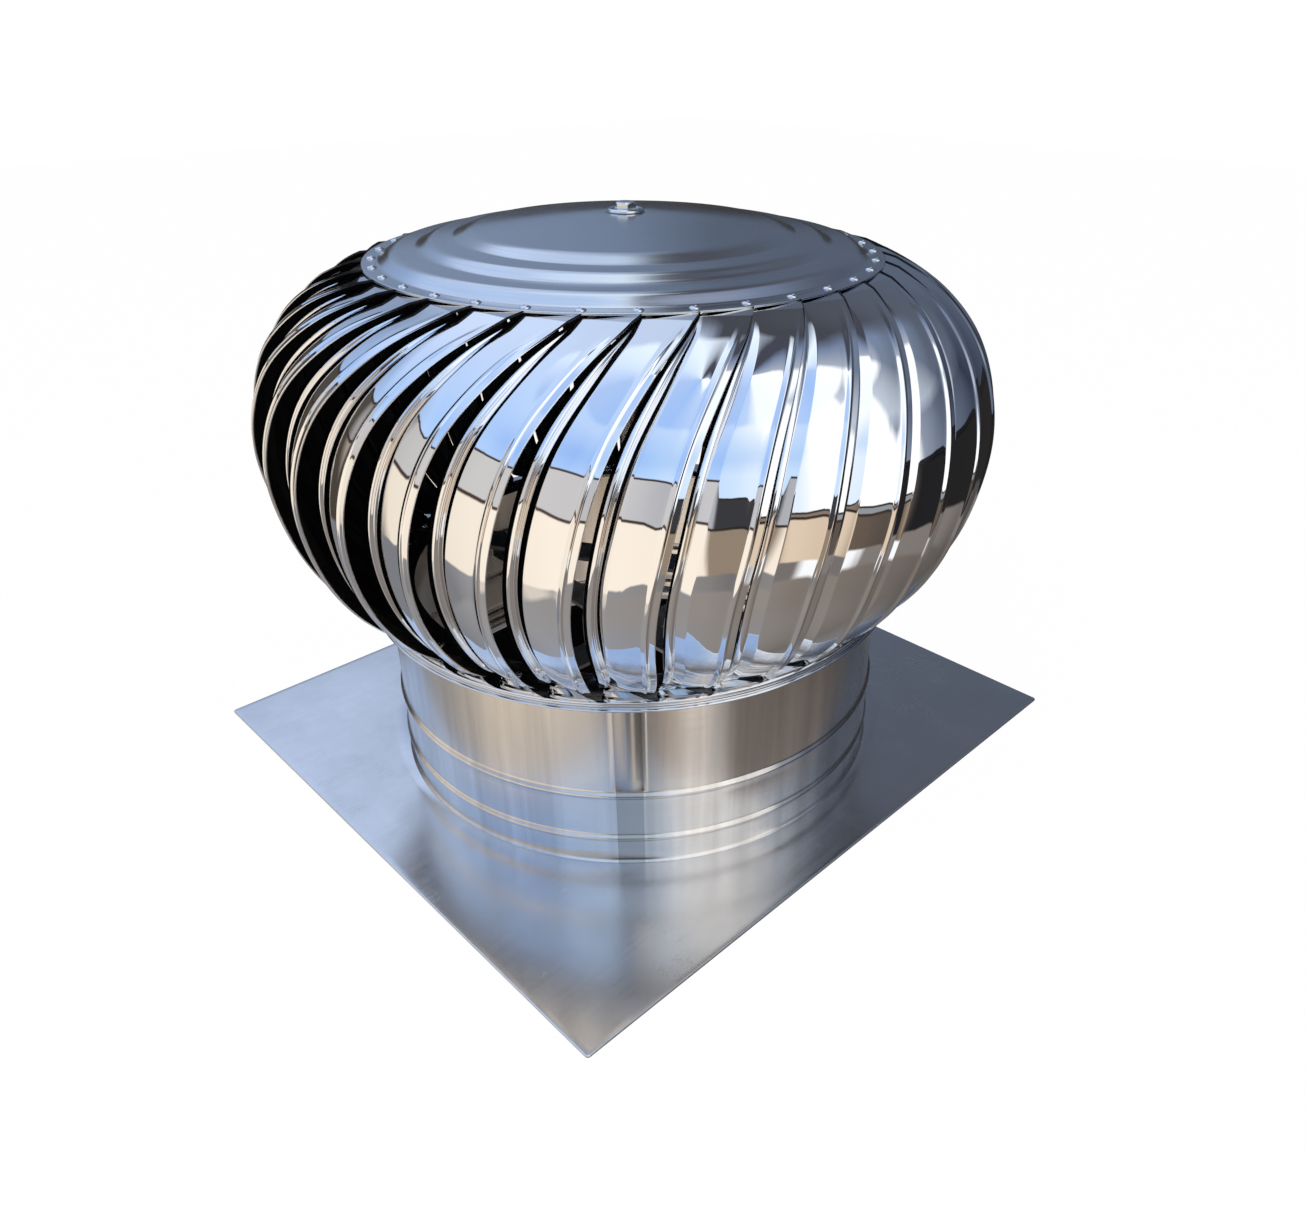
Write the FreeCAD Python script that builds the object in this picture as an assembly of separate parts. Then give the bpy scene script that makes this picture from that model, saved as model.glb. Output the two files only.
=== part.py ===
# Roof turbine ventilator with a 500 mm throat.
# Frame: origin on the turbine axis at the underside of the roof flashing, +Z up,
# the flashing's sides along X and Y, millimetres.
import FreeCAD, Part
import math
import os

Vector = FreeCAD.Vector

# Roof flashing
FLASHING_X = 666.0
FLASHING_Y = 622.0
FLASHING_CORNER_R = 3.0
SHEET_T = 1.2
HEM_W = 14.0
HEM_GAP = 0.2
COLLAR_H = 18.0
COLLAR_BEND_R = 4.0
COLLAR_ROOT = 1.0
COLLAR_FIT = 0.15

# Neck. The bead and the rolled edge are outlines in shares of their own size
NECK_R = 250.0
NECK_SHEET_T = 1.2
NECK_TOP_Z = 186.0
NECK_FOOT_R = 2.5
BEAD_Z = (31.0, 80.0)
BEAD_HEIGHT = 2.6
BEAD_HALF_W = 5.0
BEAD_FORM = ((-1.0, 0.0), (-0.4, 0.8), (0.0, 1.0), (0.4, 0.8), (1.0, 0.0))
NECK_ROLL_R = 2.4
NECK_ROLL_FORM = ((2.0, 0.0), (1.6, 1.0), (0.4, 1.0), (0.0, 0.0))
SEAM_W = 13.0
SEAM_T = 0.9
SEAM_ROOT = 0.45
SEAM_TOP_GAP = 7.2
SEAM_ANGLE = -130.0

# Bottom ring of the rotor, around the neck's rolled edge and above it
RING_OVERHANG = 14.6
RING_LAP = 4.0
RING_RISE = 6.3
RING_SHEET_T = 1.2
RING_SHOULDER_INSET = 2.6
RING_BEAD_INSET = 0.6
RING_BEAD_DROP = 3.9
RING_FLANGE_W = 38.0
RING_EDGE_R = 2.0
RING_EDGE_FORM = ((-1.0, -0.5), (0.0, -0.5), (0.5, 0.25), (0.0, 1.0))
RING_BEAD_FORM = ((0.0, -0.5), (0.5, 0.5), (0.0, 1.45))
RING_SKIRT_R = NECK_R + RING_OVERHANG
RING_SKIRT_Z = NECK_TOP_Z - RING_LAP
RING_FLANGE_Z = NECK_TOP_Z + RING_RISE
RING_SHOULDER_R = RING_SKIRT_R - RING_SHOULDER_INSET
RING_INNER_R = RING_SHOULDER_R - RING_FLANGE_W

# Cap: steps as distance in from the flange's edge and rise, dome as radius and rise
ROTOR_H = 307.7
CAP_SHEET_T = 1.2
CAP_FLANGE_R = 230.0
CAP_STEPS = (
    (14.0, 0.0),
    (17.5, 2.5),
    (24.0, 7.3),
    (28.0, 8.6),
    (46.5, 9.6),
    (50.0, 11.0),
    (56.0, 14.6),
    (59.5, 15.8),
    (79.0, 16.8),
    (82.5, 18.2),
    (91.0, 21.8),
    (96.0, 23.0),
)
CAP_DOME = ((70.0, 29.6), (30.0, 32.6))
CAP_TOP_RISE = 33.2
CAP_FLANGE_Z = RING_FLANGE_Z + ROTOR_H
CAP_TOP_Z = CAP_FLANGE_Z + CAP_TOP_RISE

# Blades: number, angle of the first one, sheet
BLADE_COUNT = 34
BLADE_PHASE = -148.6
BLADE_SHEET_T = 1.0
TAB_GAP = 0.2
BLADE_BOTTOM_Z = RING_FLANGE_Z + TAB_GAP
BLADE_TOP_Z = CAP_FLANGE_Z - CAP_SHEET_T - TAB_GAP

# Outermost line of a blade, from its bottom tab to its top tab: share of the height,
# swirl angle, share of the depth, share of the pressed form, share of the tilt
BLADE_STATIONS = (
    (0.0, -1.4, 0.0, 0.0, 0.0),
    (0.0, -1.2, 0.0, 0.0, 0.5),
    (0.015, -1.1, 0.35, 0.4, 1.0),
    (0.052, -1.0, 0.8, 0.9, 1.0),
    (0.119, -0.9, 1.0, 1.0, 1.0),
    (0.256, -1.3, 1.0, 1.0, 1.0),
    (0.417, -0.9, 1.0, 1.0, 1.0),
    (0.550, 0.4, 1.0, 1.0, 1.0),
    (0.678, 2.2, 1.0, 1.0, 1.0),
    (0.796, 5.0, 1.0, 1.0, 1.0),
    (0.880, 8.6, 0.95, 0.9, 1.0),
    (0.944, 12.9, 0.75, 0.6, 1.0),
    (0.971, 15.7, 0.42, 0.3, 1.0),
    (0.9925, 18.2, 0.0, 0.0, 1.0),
    (1.0, 19.9, 0.0, 0.0, 1.0),
    (1.0, 23.4, 0.0, 0.0, 0.0),
)

# How far each station stands outside the line from the ring's shoulder to the cap's edge
BLADE_BULGES = (
    -26.0, -8.0, 0.5, 16.7, 38.8, 68.2, 87.8, 96.1,
    94.2, 82.5, 64.2, 41.2, 26.1, 11.8, 1.0, -22.0,
)

# Stations at each end that belong to its tab
TAB_STATIONS = 2

# Cross-section of a blade, measured back from its outer edge along the tangent
MARGIN_W = 9.0
MARGIN_DROP = 1.7
PANEL_TILT = 21.0
CHANNEL_W = 7.3
CHANNEL_DROP = 4.6
LEDGE_RISE = 4.5
LEDGE_STEP = 1.3
LEDGE_W = 6.4
LEDGE_DROP = 1.2
BLADE_LAP = 22.2
PANEL_SLOPE = math.tan(math.radians(PANEL_TILT))

# Corners of the unpressed line as shares of the pitch: at the foot, at the folds, under the cap
FOOT_SHARES = (0.40, 0.48, 0.79, 0.81, 0.83, 0.85)
FOLD_SHARES = (0.03, 0.2, 0.78, 0.82, 0.85, 0.88)
CAP_TAB_SHARES = (0.03, 0.16, 0.62, 0.66, 0.69, 0.72)

# Fasteners of the rotor
RIVET_HEAD_R = 4.3
RIVET_TOP_R = 2.6
RIVET_H = 1.7
RIVET_GAP = 0.3
CAP_RIVET_INSET = 8.0
CAP_RIVET_SWIRL = 19.3
RING_RIVET_INSET = 18.0
RING_RIVET_SWIRL = -7.4
WASHER_R = 15.0
WASHER_T = 1.6
CAP_BOLT_R = 5.0
CAP_HOLE_CLEARANCE = 0.2
CAP_BOLT_AF = 17.0
CAP_BOLT_HEAD_H = 6.4
CAP_BOLT_DEPTH = 16.0
CHAMFER = 1.5

# Ball bearings, one size for both
BEARING_BORE_R = 10.0
BEARING_OUTER_R = 23.5
BEARING_W = 14.0
BEARING_PITCH_R = (BEARING_BORE_R + BEARING_OUTER_R) / 2
BALL_R = 3.97
BALL_COUNT = 8
RACE_HALF_GAP = 3.35
RUNNING_FIT = 0.04
CAGE_HALF_T = 2.15
CAGE_RIM = 0.73
CAGE_FIT = 0.2
LOWER_BEARING_RISE = 3.7
UPPER_BEARING_DROP = 14.0
LOWER_BEARING_Z = RING_FLANGE_Z + LOWER_BEARING_RISE
UPPER_BEARING_Z = CAP_FLANGE_Z - UPPER_BEARING_DROP

# Support bars across the neck
BAR_W = 32.0
BAR_T = 4.0
BAR_Z = 100.0
BAR_FOOT_H = 30.0
BAR_WALL_GAP = 0.2
SHAFT_HOLE_CLEARANCE = 0.2
NUT_AF = 30.0
NUT_H = 14.0
SHAFT_WASHER_R = 19.0
SHAFT_WASHER_T = 3.0

# Fixed shaft
SHAFT_SHOULDER = 2.0
SHAFT_TAIL = 9.0
SHAFT_END = 3.5
SHAFT_FIT = 0.03
CIRCLIP_T = 1.2
CIRCLIP_STAND = 2.6
CIRCLIP_GROOVE = 0.7
CIRCLIP_FIT = 0.05
SHAFT_BOTTOM_Z = BAR_Z - SHAFT_WASHER_T - NUT_H - SHAFT_TAIL
SHAFT_TOP_Z = UPPER_BEARING_Z + BEARING_W + SHAFT_END

# Rotor crossbar and bearing housings
CROSSBAR_W = 34.0
CROSSBAR_T = 4.0
CROSSBAR_ANGLE = -60.0
CROSSBAR_END_GAP = 16.5
HOUSING_WALL = 6.0
HOUSING_LIP = 3.0
HOUSING_CIRCLIP_T = 1.4
HOUSING_CIRCLIP_W = 4.2
HOUSING_GROOVE = 1.5
HOUSING_MARGIN = 1.8
UPPER_HOUSING_GAP = 0.2
CROSSBAR_BOLT_R = 3.0
CROSSBAR_BOLT_HEAD_R = 5.5
CROSSBAR_BOLT_HEAD_H = 3.6
CROSSBAR_BOLT_INSET = 6.5
BOLT_FIT = 0.15
SEAT_GAP = 0.1

# Length by which a cutting tool runs past what it cuts
OVERCUT = 1.0

UP = Vector(0, 0, 1)
ORIGIN = Vector(0, 0, 0)


def polar(radius, angle_deg, height=0.0):
    """Point at a radius and an angle from +X about the turbine axis."""
    angle = math.radians(angle_deg)
    return Vector(radius * math.cos(angle), radius * math.sin(angle), height)


def cylinder(radius, bottom, top):
    return Part.makeCylinder(radius, top - bottom, Vector(0, 0, bottom))


def tube(outer_r, inner_r, bottom, top):
    return cylinder(outer_r, bottom, top).cut(cylinder(inner_r, bottom - OVERCUT, top + OVERCUT))


def revolve(points):
    """Solid of revolution of a closed outline given as radius and height pairs."""
    corners = [Vector(r, 0, z) for r, z in points]
    wire = Part.makePolygon(corners + corners[:1])
    return Part.Face(wire).revolve(ORIGIN, UP, 360)


def turned(shape, angle_deg):
    copy = shape.copy()
    copy.rotate(ORIGIN, UP, angle_deg)
    return copy


def hexagon(across_flats, bottom, top):
    radius = across_flats / math.sqrt(3)
    corners = [polar(radius, 60 * k, bottom) for k in range(6)]
    face = Part.Face(Part.makePolygon(corners + corners[:1]))
    return face.extrude(Vector(0, 0, top - bottom))


def offset_line(points, distance):
    """Open outline shifted sideways by a distance, with mitred corners."""
    shifted = []
    last = len(points) - 1
    for k, (x, y) in enumerate(points):
        sides = []
        for a, b in ((max(k - 1, 0), max(k, 1)), (min(k, last - 1), min(k + 1, last))):
            dx = points[b][0] - points[a][0]
            dy = points[b][1] - points[a][1]
            length = math.hypot(dx, dy)
            sides.append((-dy / length, dx / length))
        nx = sides[0][0] + sides[1][0]
        ny = sides[0][1] + sides[1][1]
        scale = distance * 2 / (nx * nx + ny * ny)
        shifted.append((x + nx * scale, y + ny * scale))
    return shifted


def flashing():
    """Flat roof sheet with a folded hem on its edges and a collar turned up at the throat."""
    top = 2 * SHEET_T + HEM_GAP
    low = SHEET_T + HEM_GAP
    plate = Part.makeBox(FLASHING_X, FLASHING_Y, top, Vector(-FLASHING_X / 2, -FLASHING_Y / 2, 0))
    upright = [e for e in plate.Edges if abs(e.Vertexes[0].Z - e.Vertexes[1].Z) > SHEET_T]
    plate = plate.makeFillet(FLASHING_CORNER_R, upright)
    inner_x = FLASHING_X - 2 * HEM_W
    inner_y = FLASHING_Y - 2 * HEM_W
    plate = plate.cut(Part.makeBox(inner_x, inner_y, low, Vector(-inner_x / 2, -inner_y / 2, 0)))
    slot_x = FLASHING_X - 2 * SHEET_T
    slot_y = FLASHING_Y - 2 * SHEET_T
    plate = plate.cut(Part.makeBox(slot_x, slot_y, HEM_GAP, Vector(-slot_x / 2, -slot_y / 2, SHEET_T)))
    outer = NECK_R - NECK_SHEET_T - COLLAR_FIT
    inner = outer - SHEET_T
    plate = plate.cut(cylinder(outer, -OVERCUT, top + OVERCUT))
    collar = revolve((
        (outer + COLLAR_ROOT, low),
        (outer + COLLAR_ROOT, top),
        (outer, top),
        (outer, low + COLLAR_H),
        (inner, low + COLLAR_H),
        (inner, low + COLLAR_BEND_R),
        (inner + SHEET_T, low),
    ))
    return plate.fuse(collar).removeSplitter()


def neck_outline(radius, roll):
    """Outline of the neck sheet from its foot to its rolled top, with two swaged beads."""
    base = 2 * SHEET_T + HEM_GAP
    points = [(radius + NECK_FOOT_R, base), (radius, base + NECK_FOOT_R)]
    for z in BEAD_Z:
        for up, out in BEAD_FORM:
            points.append((radius + BEAD_HEIGHT * out, z + BEAD_HALF_W * up))
    for down, out in NECK_ROLL_FORM:
        points.append((radius + roll * out, NECK_TOP_Z - NECK_ROLL_R * down))
    return points


def neck():
    """Sheet cylinder with beads, a rolled top edge and an upright lap seam."""
    outer = neck_outline(NECK_R, NECK_ROLL_R)
    inner = [(r - NECK_SHEET_T, z) for r, z in neck_outline(NECK_R, 0.0)]
    body = revolve(outer + inner[::-1])
    half = math.degrees(SEAM_W / 2 / NECK_R)
    bottom = BEAD_Z[1] + BEAD_HALF_W
    top = NECK_TOP_Z - SEAM_TOP_GAP
    corners = [
        Vector(NECK_R - SEAM_ROOT, 0, bottom),
        Vector(NECK_R + SEAM_T, 0, bottom),
        Vector(NECK_R + SEAM_T, 0, top),
        Vector(NECK_R - SEAM_ROOT, 0, top),
    ]
    strip = Part.Face(Part.makePolygon(corners + corners[:1])).revolve(ORIGIN, UP, 2 * half)
    return body.fuse(turned(strip, SEAM_ANGLE - half))


def support_bar(level):
    """Flat bar across the neck with ends bent up against the wall."""
    reach = NECK_R - NECK_SHEET_T - BAR_WALL_GAP
    bottom = BAR_Z + level * BAR_T
    bar = Part.makeBox(2 * reach, BAR_W, BAR_T, Vector(-reach, -BAR_W / 2, bottom))
    for side in (-1, 1):
        x = side * reach - (BAR_T if side > 0 else 0)
        foot = Part.makeBox(BAR_T, BAR_W, BAR_FOOT_H, Vector(x, -BAR_W / 2, bottom))
        bar = bar.fuse(foot)
    bar = bar.common(cylinder(reach, 0, NECK_TOP_Z))
    hole = cylinder(BEARING_BORE_R + SHAFT_HOLE_CLEARANCE, 0, NECK_TOP_Z)
    return bar.cut(hole).removeSplitter()


def shaft():
    """Fixed spindle: thick between the bearings, with circlip grooves and chamfered ends."""
    lower_seat = LOWER_BEARING_Z + BEARING_W
    thick = BEARING_BORE_R + SHAFT_SHOULDER
    groove = BEARING_BORE_R - CIRCLIP_GROOVE
    low_groove = LOWER_BEARING_Z - SEAT_GAP
    top_groove = UPPER_BEARING_Z + BEARING_W + SEAT_GAP
    return revolve((
        (0, SHAFT_BOTTOM_Z),
        (BEARING_BORE_R - CHAMFER, SHAFT_BOTTOM_Z),
        (BEARING_BORE_R, SHAFT_BOTTOM_Z + CHAMFER),
        (BEARING_BORE_R, low_groove - CIRCLIP_T),
        (groove, low_groove - CIRCLIP_T),
        (groove, low_groove),
        (BEARING_BORE_R, low_groove),
        (BEARING_BORE_R, lower_seat),
        (thick, lower_seat),
        (thick, UPPER_BEARING_Z),
        (BEARING_BORE_R, UPPER_BEARING_Z),
        (BEARING_BORE_R, top_groove),
        (groove, top_groove),
        (groove, top_groove + CIRCLIP_T),
        (BEARING_BORE_R, top_groove + CIRCLIP_T),
        (BEARING_BORE_R, SHAFT_TOP_Z - CHAMFER),
        (BEARING_BORE_R - CHAMFER, SHAFT_TOP_Z),
        (0, SHAFT_TOP_Z),
    ))


def shaft_nuts():
    """Two hexagon nuts that clamp the spindle to the support bars."""
    bore = BEARING_BORE_R + SHAFT_FIT
    low_top = BAR_Z - SHAFT_WASHER_T
    high_bottom = BAR_Z + 2 * BAR_T + SHAFT_WASHER_T
    nuts = []
    for bottom in (low_top - NUT_H, high_bottom):
        nut = hexagon(NUT_AF, bottom, bottom + NUT_H)
        nuts.append(nut.cut(cylinder(bore, bottom - OVERCUT, bottom + NUT_H + OVERCUT)))
    return Part.makeCompound(nuts)


def shaft_washers():
    bore = BEARING_BORE_R + SHAFT_HOLE_CLEARANCE
    low = tube(SHAFT_WASHER_R, bore, BAR_Z - SHAFT_WASHER_T, BAR_Z)
    high_z = BAR_Z + 2 * BAR_T
    high = tube(SHAFT_WASHER_R, bore, high_z, high_z + SHAFT_WASHER_T)
    return Part.makeCompound([low, high])


def circlip(bottom, thickness, inner_r, outer_r):
    ring = tube(outer_r, inner_r, bottom, bottom + thickness)
    corner = Vector(0, -inner_r / 2, bottom - OVERCUT)
    gap = Part.makeBox(outer_r + OVERCUT, inner_r, thickness + 2 * OVERCUT, corner)
    return ring.cut(gap)


def shaft_circlips():
    """Split rings in the spindle's grooves, one at each bearing."""
    inner = BEARING_BORE_R - CIRCLIP_GROOVE + CIRCLIP_FIT
    outer = BEARING_BORE_R + CIRCLIP_STAND
    thick = CIRCLIP_T - 2 * CIRCLIP_FIT
    low = LOWER_BEARING_Z - SEAT_GAP - CIRCLIP_T + CIRCLIP_FIT
    high = UPPER_BEARING_Z + BEARING_W + SEAT_GAP + CIRCLIP_FIT
    return Part.makeCompound([circlip(z, thick, inner, outer) for z in (low, high)])


def race_groove(bottom):
    """Ring of the ball track, wider than the balls by the running fit."""
    return Part.makeTorus(BEARING_PITCH_R, BALL_R + RUNNING_FIT, Vector(0, 0, bottom + BEARING_W / 2))


def inner_race(bottom):
    outer = BEARING_PITCH_R - RACE_HALF_GAP
    ring = tube(outer, BEARING_BORE_R + SHAFT_FIT, bottom, bottom + BEARING_W)
    return ring.cut(race_groove(bottom))


def outer_race(bottom):
    inner = BEARING_PITCH_R + RACE_HALF_GAP
    ring = tube(BEARING_OUTER_R, inner, bottom, bottom + BEARING_W)
    return ring.cut(race_groove(bottom))


def ball_places(bottom):
    step = 360.0 / BALL_COUNT
    middle = bottom + BEARING_W / 2
    return [polar(BEARING_PITCH_R, k * step, middle) for k in range(BALL_COUNT)]


def bearing_balls(bottom):
    return Part.makeCompound([Part.makeSphere(BALL_R, p) for p in ball_places(bottom)])


def bearing_cage(bottom):
    """Ring that spaces the balls, with a round pocket for each."""
    middle = bottom + BEARING_W / 2
    half_h = BALL_R + CAGE_RIM
    outer = BEARING_PITCH_R + CAGE_HALF_T
    inner = BEARING_PITCH_R - CAGE_HALF_T
    ring = tube(outer, inner, middle - half_h, middle + half_h)
    for place in ball_places(bottom):
        outward = Vector(place.x, place.y, 0).normalize()
        start = place - outward * BALL_R
        ring = ring.cut(Part.makeCylinder(BALL_R + CAGE_FIT, 2 * BALL_R, start, outward))
    return ring


def housing_circlip(bottom):
    outer = BEARING_OUTER_R + HOUSING_GROOVE
    thick = HOUSING_CIRCLIP_T - 2 * CIRCLIP_FIT
    return circlip(bottom, thick, outer - HOUSING_CIRCLIP_W, outer - CIRCLIP_FIT)


def housing_circlips():
    """Split rings that hold the outer races in their housings."""
    low = LOWER_BEARING_Z + BEARING_W + SEAT_GAP + CIRCLIP_FIT
    high = UPPER_BEARING_Z - SEAT_GAP - HOUSING_CIRCLIP_T + CIRCLIP_FIT
    return Part.makeCompound([housing_circlip(low), housing_circlip(high)])


def rotor_crossbar():
    """Bar under the bottom ring's flange that carries the lower bearing in a welded cup."""
    outer = BEARING_OUTER_R + HOUSING_WALL
    top = LOWER_BEARING_Z + BEARING_W + HOUSING_CIRCLIP_T + HOUSING_MARGIN
    groove = LOWER_BEARING_Z + BEARING_W + SEAT_GAP
    bar_top = RING_FLANGE_Z - RING_SHEET_T - SEAT_GAP
    bar_bottom = bar_top - CROSSBAR_T
    end_r = RING_SHOULDER_R - CROSSBAR_END_GAP
    length = 2 * end_r
    bar = Part.makeBox(length, CROSSBAR_W, CROSSBAR_T, Vector(-length / 2, -CROSSBAR_W / 2, bar_bottom))
    bar = bar.common(cylinder(end_r, bar_bottom, bar_top))
    body = bar.fuse(cylinder(outer, bar_bottom, top))
    body = body.cut(cylinder(BEARING_OUTER_R - HOUSING_LIP, bar_bottom - OVERCUT, top))
    body = body.cut(cylinder(BEARING_OUTER_R, LOWER_BEARING_Z, top + OVERCUT))
    body = body.cut(cylinder(BEARING_OUTER_R + HOUSING_GROOVE, groove, groove + HOUSING_CIRCLIP_T))
    for side in (0, 180):
        hole = cylinder(CROSSBAR_BOLT_R + BOLT_FIT, bar_bottom - OVERCUT, bar_top + OVERCUT)
        hole.translate(polar(RING_INNER_R + CROSSBAR_BOLT_INSET, side))
        body = body.cut(hole)
    return turned(body.removeSplitter(), CROSSBAR_ANGLE)


def crossbar_bolts():
    """Bolts from above through the ring's flange and the crossbar."""
    bottom = RING_FLANGE_Z - RING_SHEET_T - SEAT_GAP - CROSSBAR_T
    bolts = []
    for side in (0, 180):
        bolt = cylinder(CROSSBAR_BOLT_R, bottom, RING_FLANGE_Z)
        head = cylinder(CROSSBAR_BOLT_HEAD_R, RING_FLANGE_Z, RING_FLANGE_Z + CROSSBAR_BOLT_HEAD_H)
        bolt = bolt.fuse(head)
        bolt.translate(polar(RING_INNER_R + CROSSBAR_BOLT_INSET, side))
        bolts.append(turned(bolt, CROSSBAR_ANGLE))
    return Part.makeCompound(bolts)


def cap_underside(radius):
    """Height of the cap's underside at a radius inside its top cone."""
    (outer_r, outer_rise), (inner_r, inner_rise) = CAP_DOME
    if radius <= inner_r:
        outer_r, outer_rise, inner_r, inner_rise = inner_r, inner_rise, 0.0, CAP_TOP_RISE
    share = (radius - inner_r) / (outer_r - inner_r)
    return CAP_FLANGE_Z + inner_rise + (outer_rise - inner_rise) * share - CAP_SHEET_T


def upper_housing():
    """Hub under the cap: closed on top, bored from below for the upper bearing."""
    outer = BEARING_OUTER_R + HOUSING_WALL
    lip = BEARING_OUTER_R - HOUSING_LIP
    groove_r = BEARING_OUTER_R + HOUSING_GROOVE
    bottom = UPPER_BEARING_Z - HOUSING_CIRCLIP_T - HOUSING_MARGIN
    shoulder = UPPER_BEARING_Z + BEARING_W
    roof = SHAFT_TOP_Z + HOUSING_LIP
    groove = UPPER_BEARING_Z - SEAT_GAP
    edge_z = cap_underside(outer) - UPPER_HOUSING_GAP
    centre_z = CAP_TOP_Z - CAP_SHEET_T - UPPER_HOUSING_GAP
    screw_r = CAP_BOLT_R + SHAFT_FIT
    return revolve((
        (screw_r, roof),
        (lip, roof),
        (lip, shoulder),
        (BEARING_OUTER_R, shoulder),
        (BEARING_OUTER_R, groove),
        (groove_r, groove),
        (groove_r, groove - HOUSING_CIRCLIP_T),
        (BEARING_OUTER_R, groove - HOUSING_CIRCLIP_T),
        (BEARING_OUTER_R, bottom),
        (outer, bottom),
        (outer, edge_z),
        (screw_r, centre_z - (centre_z - edge_z) * screw_r / outer),
    ))


def cap_bolt():
    """Hexagon bolt through the cap into the hub."""
    seat = CAP_TOP_Z + WASHER_T
    head = hexagon(CAP_BOLT_AF, seat, seat + CAP_BOLT_HEAD_H)
    bevel_r = CAP_BOLT_AF / 2
    wide_r = bevel_r + CAP_BOLT_HEAD_H
    cone = Part.makeCone(wide_r, bevel_r - CHAMFER / 2, CAP_BOLT_HEAD_H, Vector(0, 0, seat))
    head = head.common(cone)
    return head.fuse(cylinder(CAP_BOLT_R, CAP_TOP_Z - CAP_BOLT_DEPTH, seat))


def cap_washer():
    return tube(WASHER_R, CAP_BOLT_R + CAP_HOLE_CLEARANCE, CAP_TOP_Z, CAP_TOP_Z + WASHER_T)


def cap():
    """Stepped pressing with a flat flange, three rising rings and a low cone."""
    hole_r = CAP_BOLT_R + CAP_HOLE_CLEARANCE
    top = [(CAP_FLANGE_R, CAP_FLANGE_Z)]
    top += [(CAP_FLANGE_R - inset, CAP_FLANGE_Z + rise) for inset, rise in CAP_STEPS]
    top += [(radius, CAP_FLANGE_Z + rise) for radius, rise in CAP_DOME]
    top += [(WASHER_R, CAP_TOP_Z), (hole_r, CAP_TOP_Z)]
    under = [(r, z - CAP_SHEET_T) for r, z in top]
    return revolve(top + under[::-1])


def bottom_ring():
    """Pressed ring that skirts the neck: rolled lower edge, shoulder bead and inward flange."""
    bead_r = RING_SKIRT_R - RING_BEAD_INSET
    bead_z = RING_FLANGE_Z - RING_BEAD_DROP
    wall = RING_SHOULDER_R - RING_SHEET_T
    under = RING_FLANGE_Z - RING_SHEET_T
    outer = []
    for out, up in RING_EDGE_FORM:
        outer.append((RING_SKIRT_R + out * RING_EDGE_R, RING_SKIRT_Z + up * RING_EDGE_R))
    outer.append((RING_SHOULDER_R, RING_SKIRT_Z + RING_SHEET_T + RING_EDGE_R))
    outer.append((RING_SHOULDER_R, bead_z - RING_EDGE_R))
    outer += [(bead_r + out * RING_EDGE_R, bead_z + up * RING_EDGE_R) for out, up in RING_BEAD_FORM]
    outer += [(RING_SHOULDER_R, RING_FLANGE_Z), (RING_INNER_R, RING_FLANGE_Z)]
    inner = [(RING_INNER_R, under), (wall, under), (wall, RING_SKIRT_Z + RING_EDGE_R)]
    ring = revolve(outer + inner)
    for side in (0, 180):
        hole = cylinder(CROSSBAR_BOLT_R + BOLT_FIT, RING_SKIRT_Z, RING_FLANGE_Z + OVERCUT)
        hole.translate(polar(RING_INNER_R + CROSSBAR_BOLT_INSET, side + CROSSBAR_ANGLE))
        ring = ring.cut(hole)
    return ring


def rivet_ring(radius, swirl, seat):
    """One rivet head for each blade, standing on a flange."""
    head = Part.makeCone(RIVET_HEAD_R, RIVET_TOP_R, RIVET_H)
    heads = []
    for k in range(BLADE_COUNT):
        copy = head.copy()
        copy.translate(polar(radius, BLADE_PHASE + swirl + k * 360.0 / BLADE_COUNT, seat))
        heads.append(copy)
    return Part.makeCompound(heads)


def blade_outline(pitch, depth, form, shares):
    """Cross-section line: margin, panel, channel floor, channel wall and ledge.

    Each point is a distance back from the outer edge and a depth under the line through
    that edge at the panel's tilt. The pressed line is blended into a straight one where
    the blade ends in a tab.
    """
    panel_w = pitch - BLADE_LAP
    floor_w = panel_w + CHANNEL_W
    ledge_w = floor_w + LEDGE_STEP
    panel_d = MARGIN_DROP - PANEL_SLOPE * MARGIN_W
    floor_d = panel_d + CHANNEL_DROP - PANEL_SLOPE * CHANNEL_W
    ledge_d = floor_d - LEDGE_RISE - PANEL_SLOPE * LEDGE_STEP
    pressed = (
        (0.0, 0.0),
        (MARGIN_W, panel_d),
        (panel_w, panel_d),
        (floor_w, floor_d),
        (ledge_w, ledge_d),
        (ledge_w + LEDGE_W, ledge_d + LEDGE_DROP - PANEL_SLOPE * LEDGE_W),
    )
    line = []
    for (w, d), share in zip(pressed, shares):
        line.append((form * w + (1 - form) * share * pitch, depth * form * d))
    return line


def line_shares(k):
    """Corners of the unpressed line at a station."""
    if k < TAB_STATIONS:
        return FOOT_SHARES
    if k >= len(BLADE_STATIONS) - TAB_STATIONS:
        return CAP_TAB_SHARES
    return FOLD_SHARES


def blade_point(k):
    """Radius and height of a station of the blade's outer line."""
    share = BLADE_STATIONS[k][0]
    height = BLADE_BOTTOM_Z + share * (BLADE_TOP_Z - BLADE_BOTTOM_Z)
    radius = RING_SHOULDER_R + share * (CAP_FLANGE_R - RING_SHOULDER_R) + BLADE_BULGES[k]
    return radius, height


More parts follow.
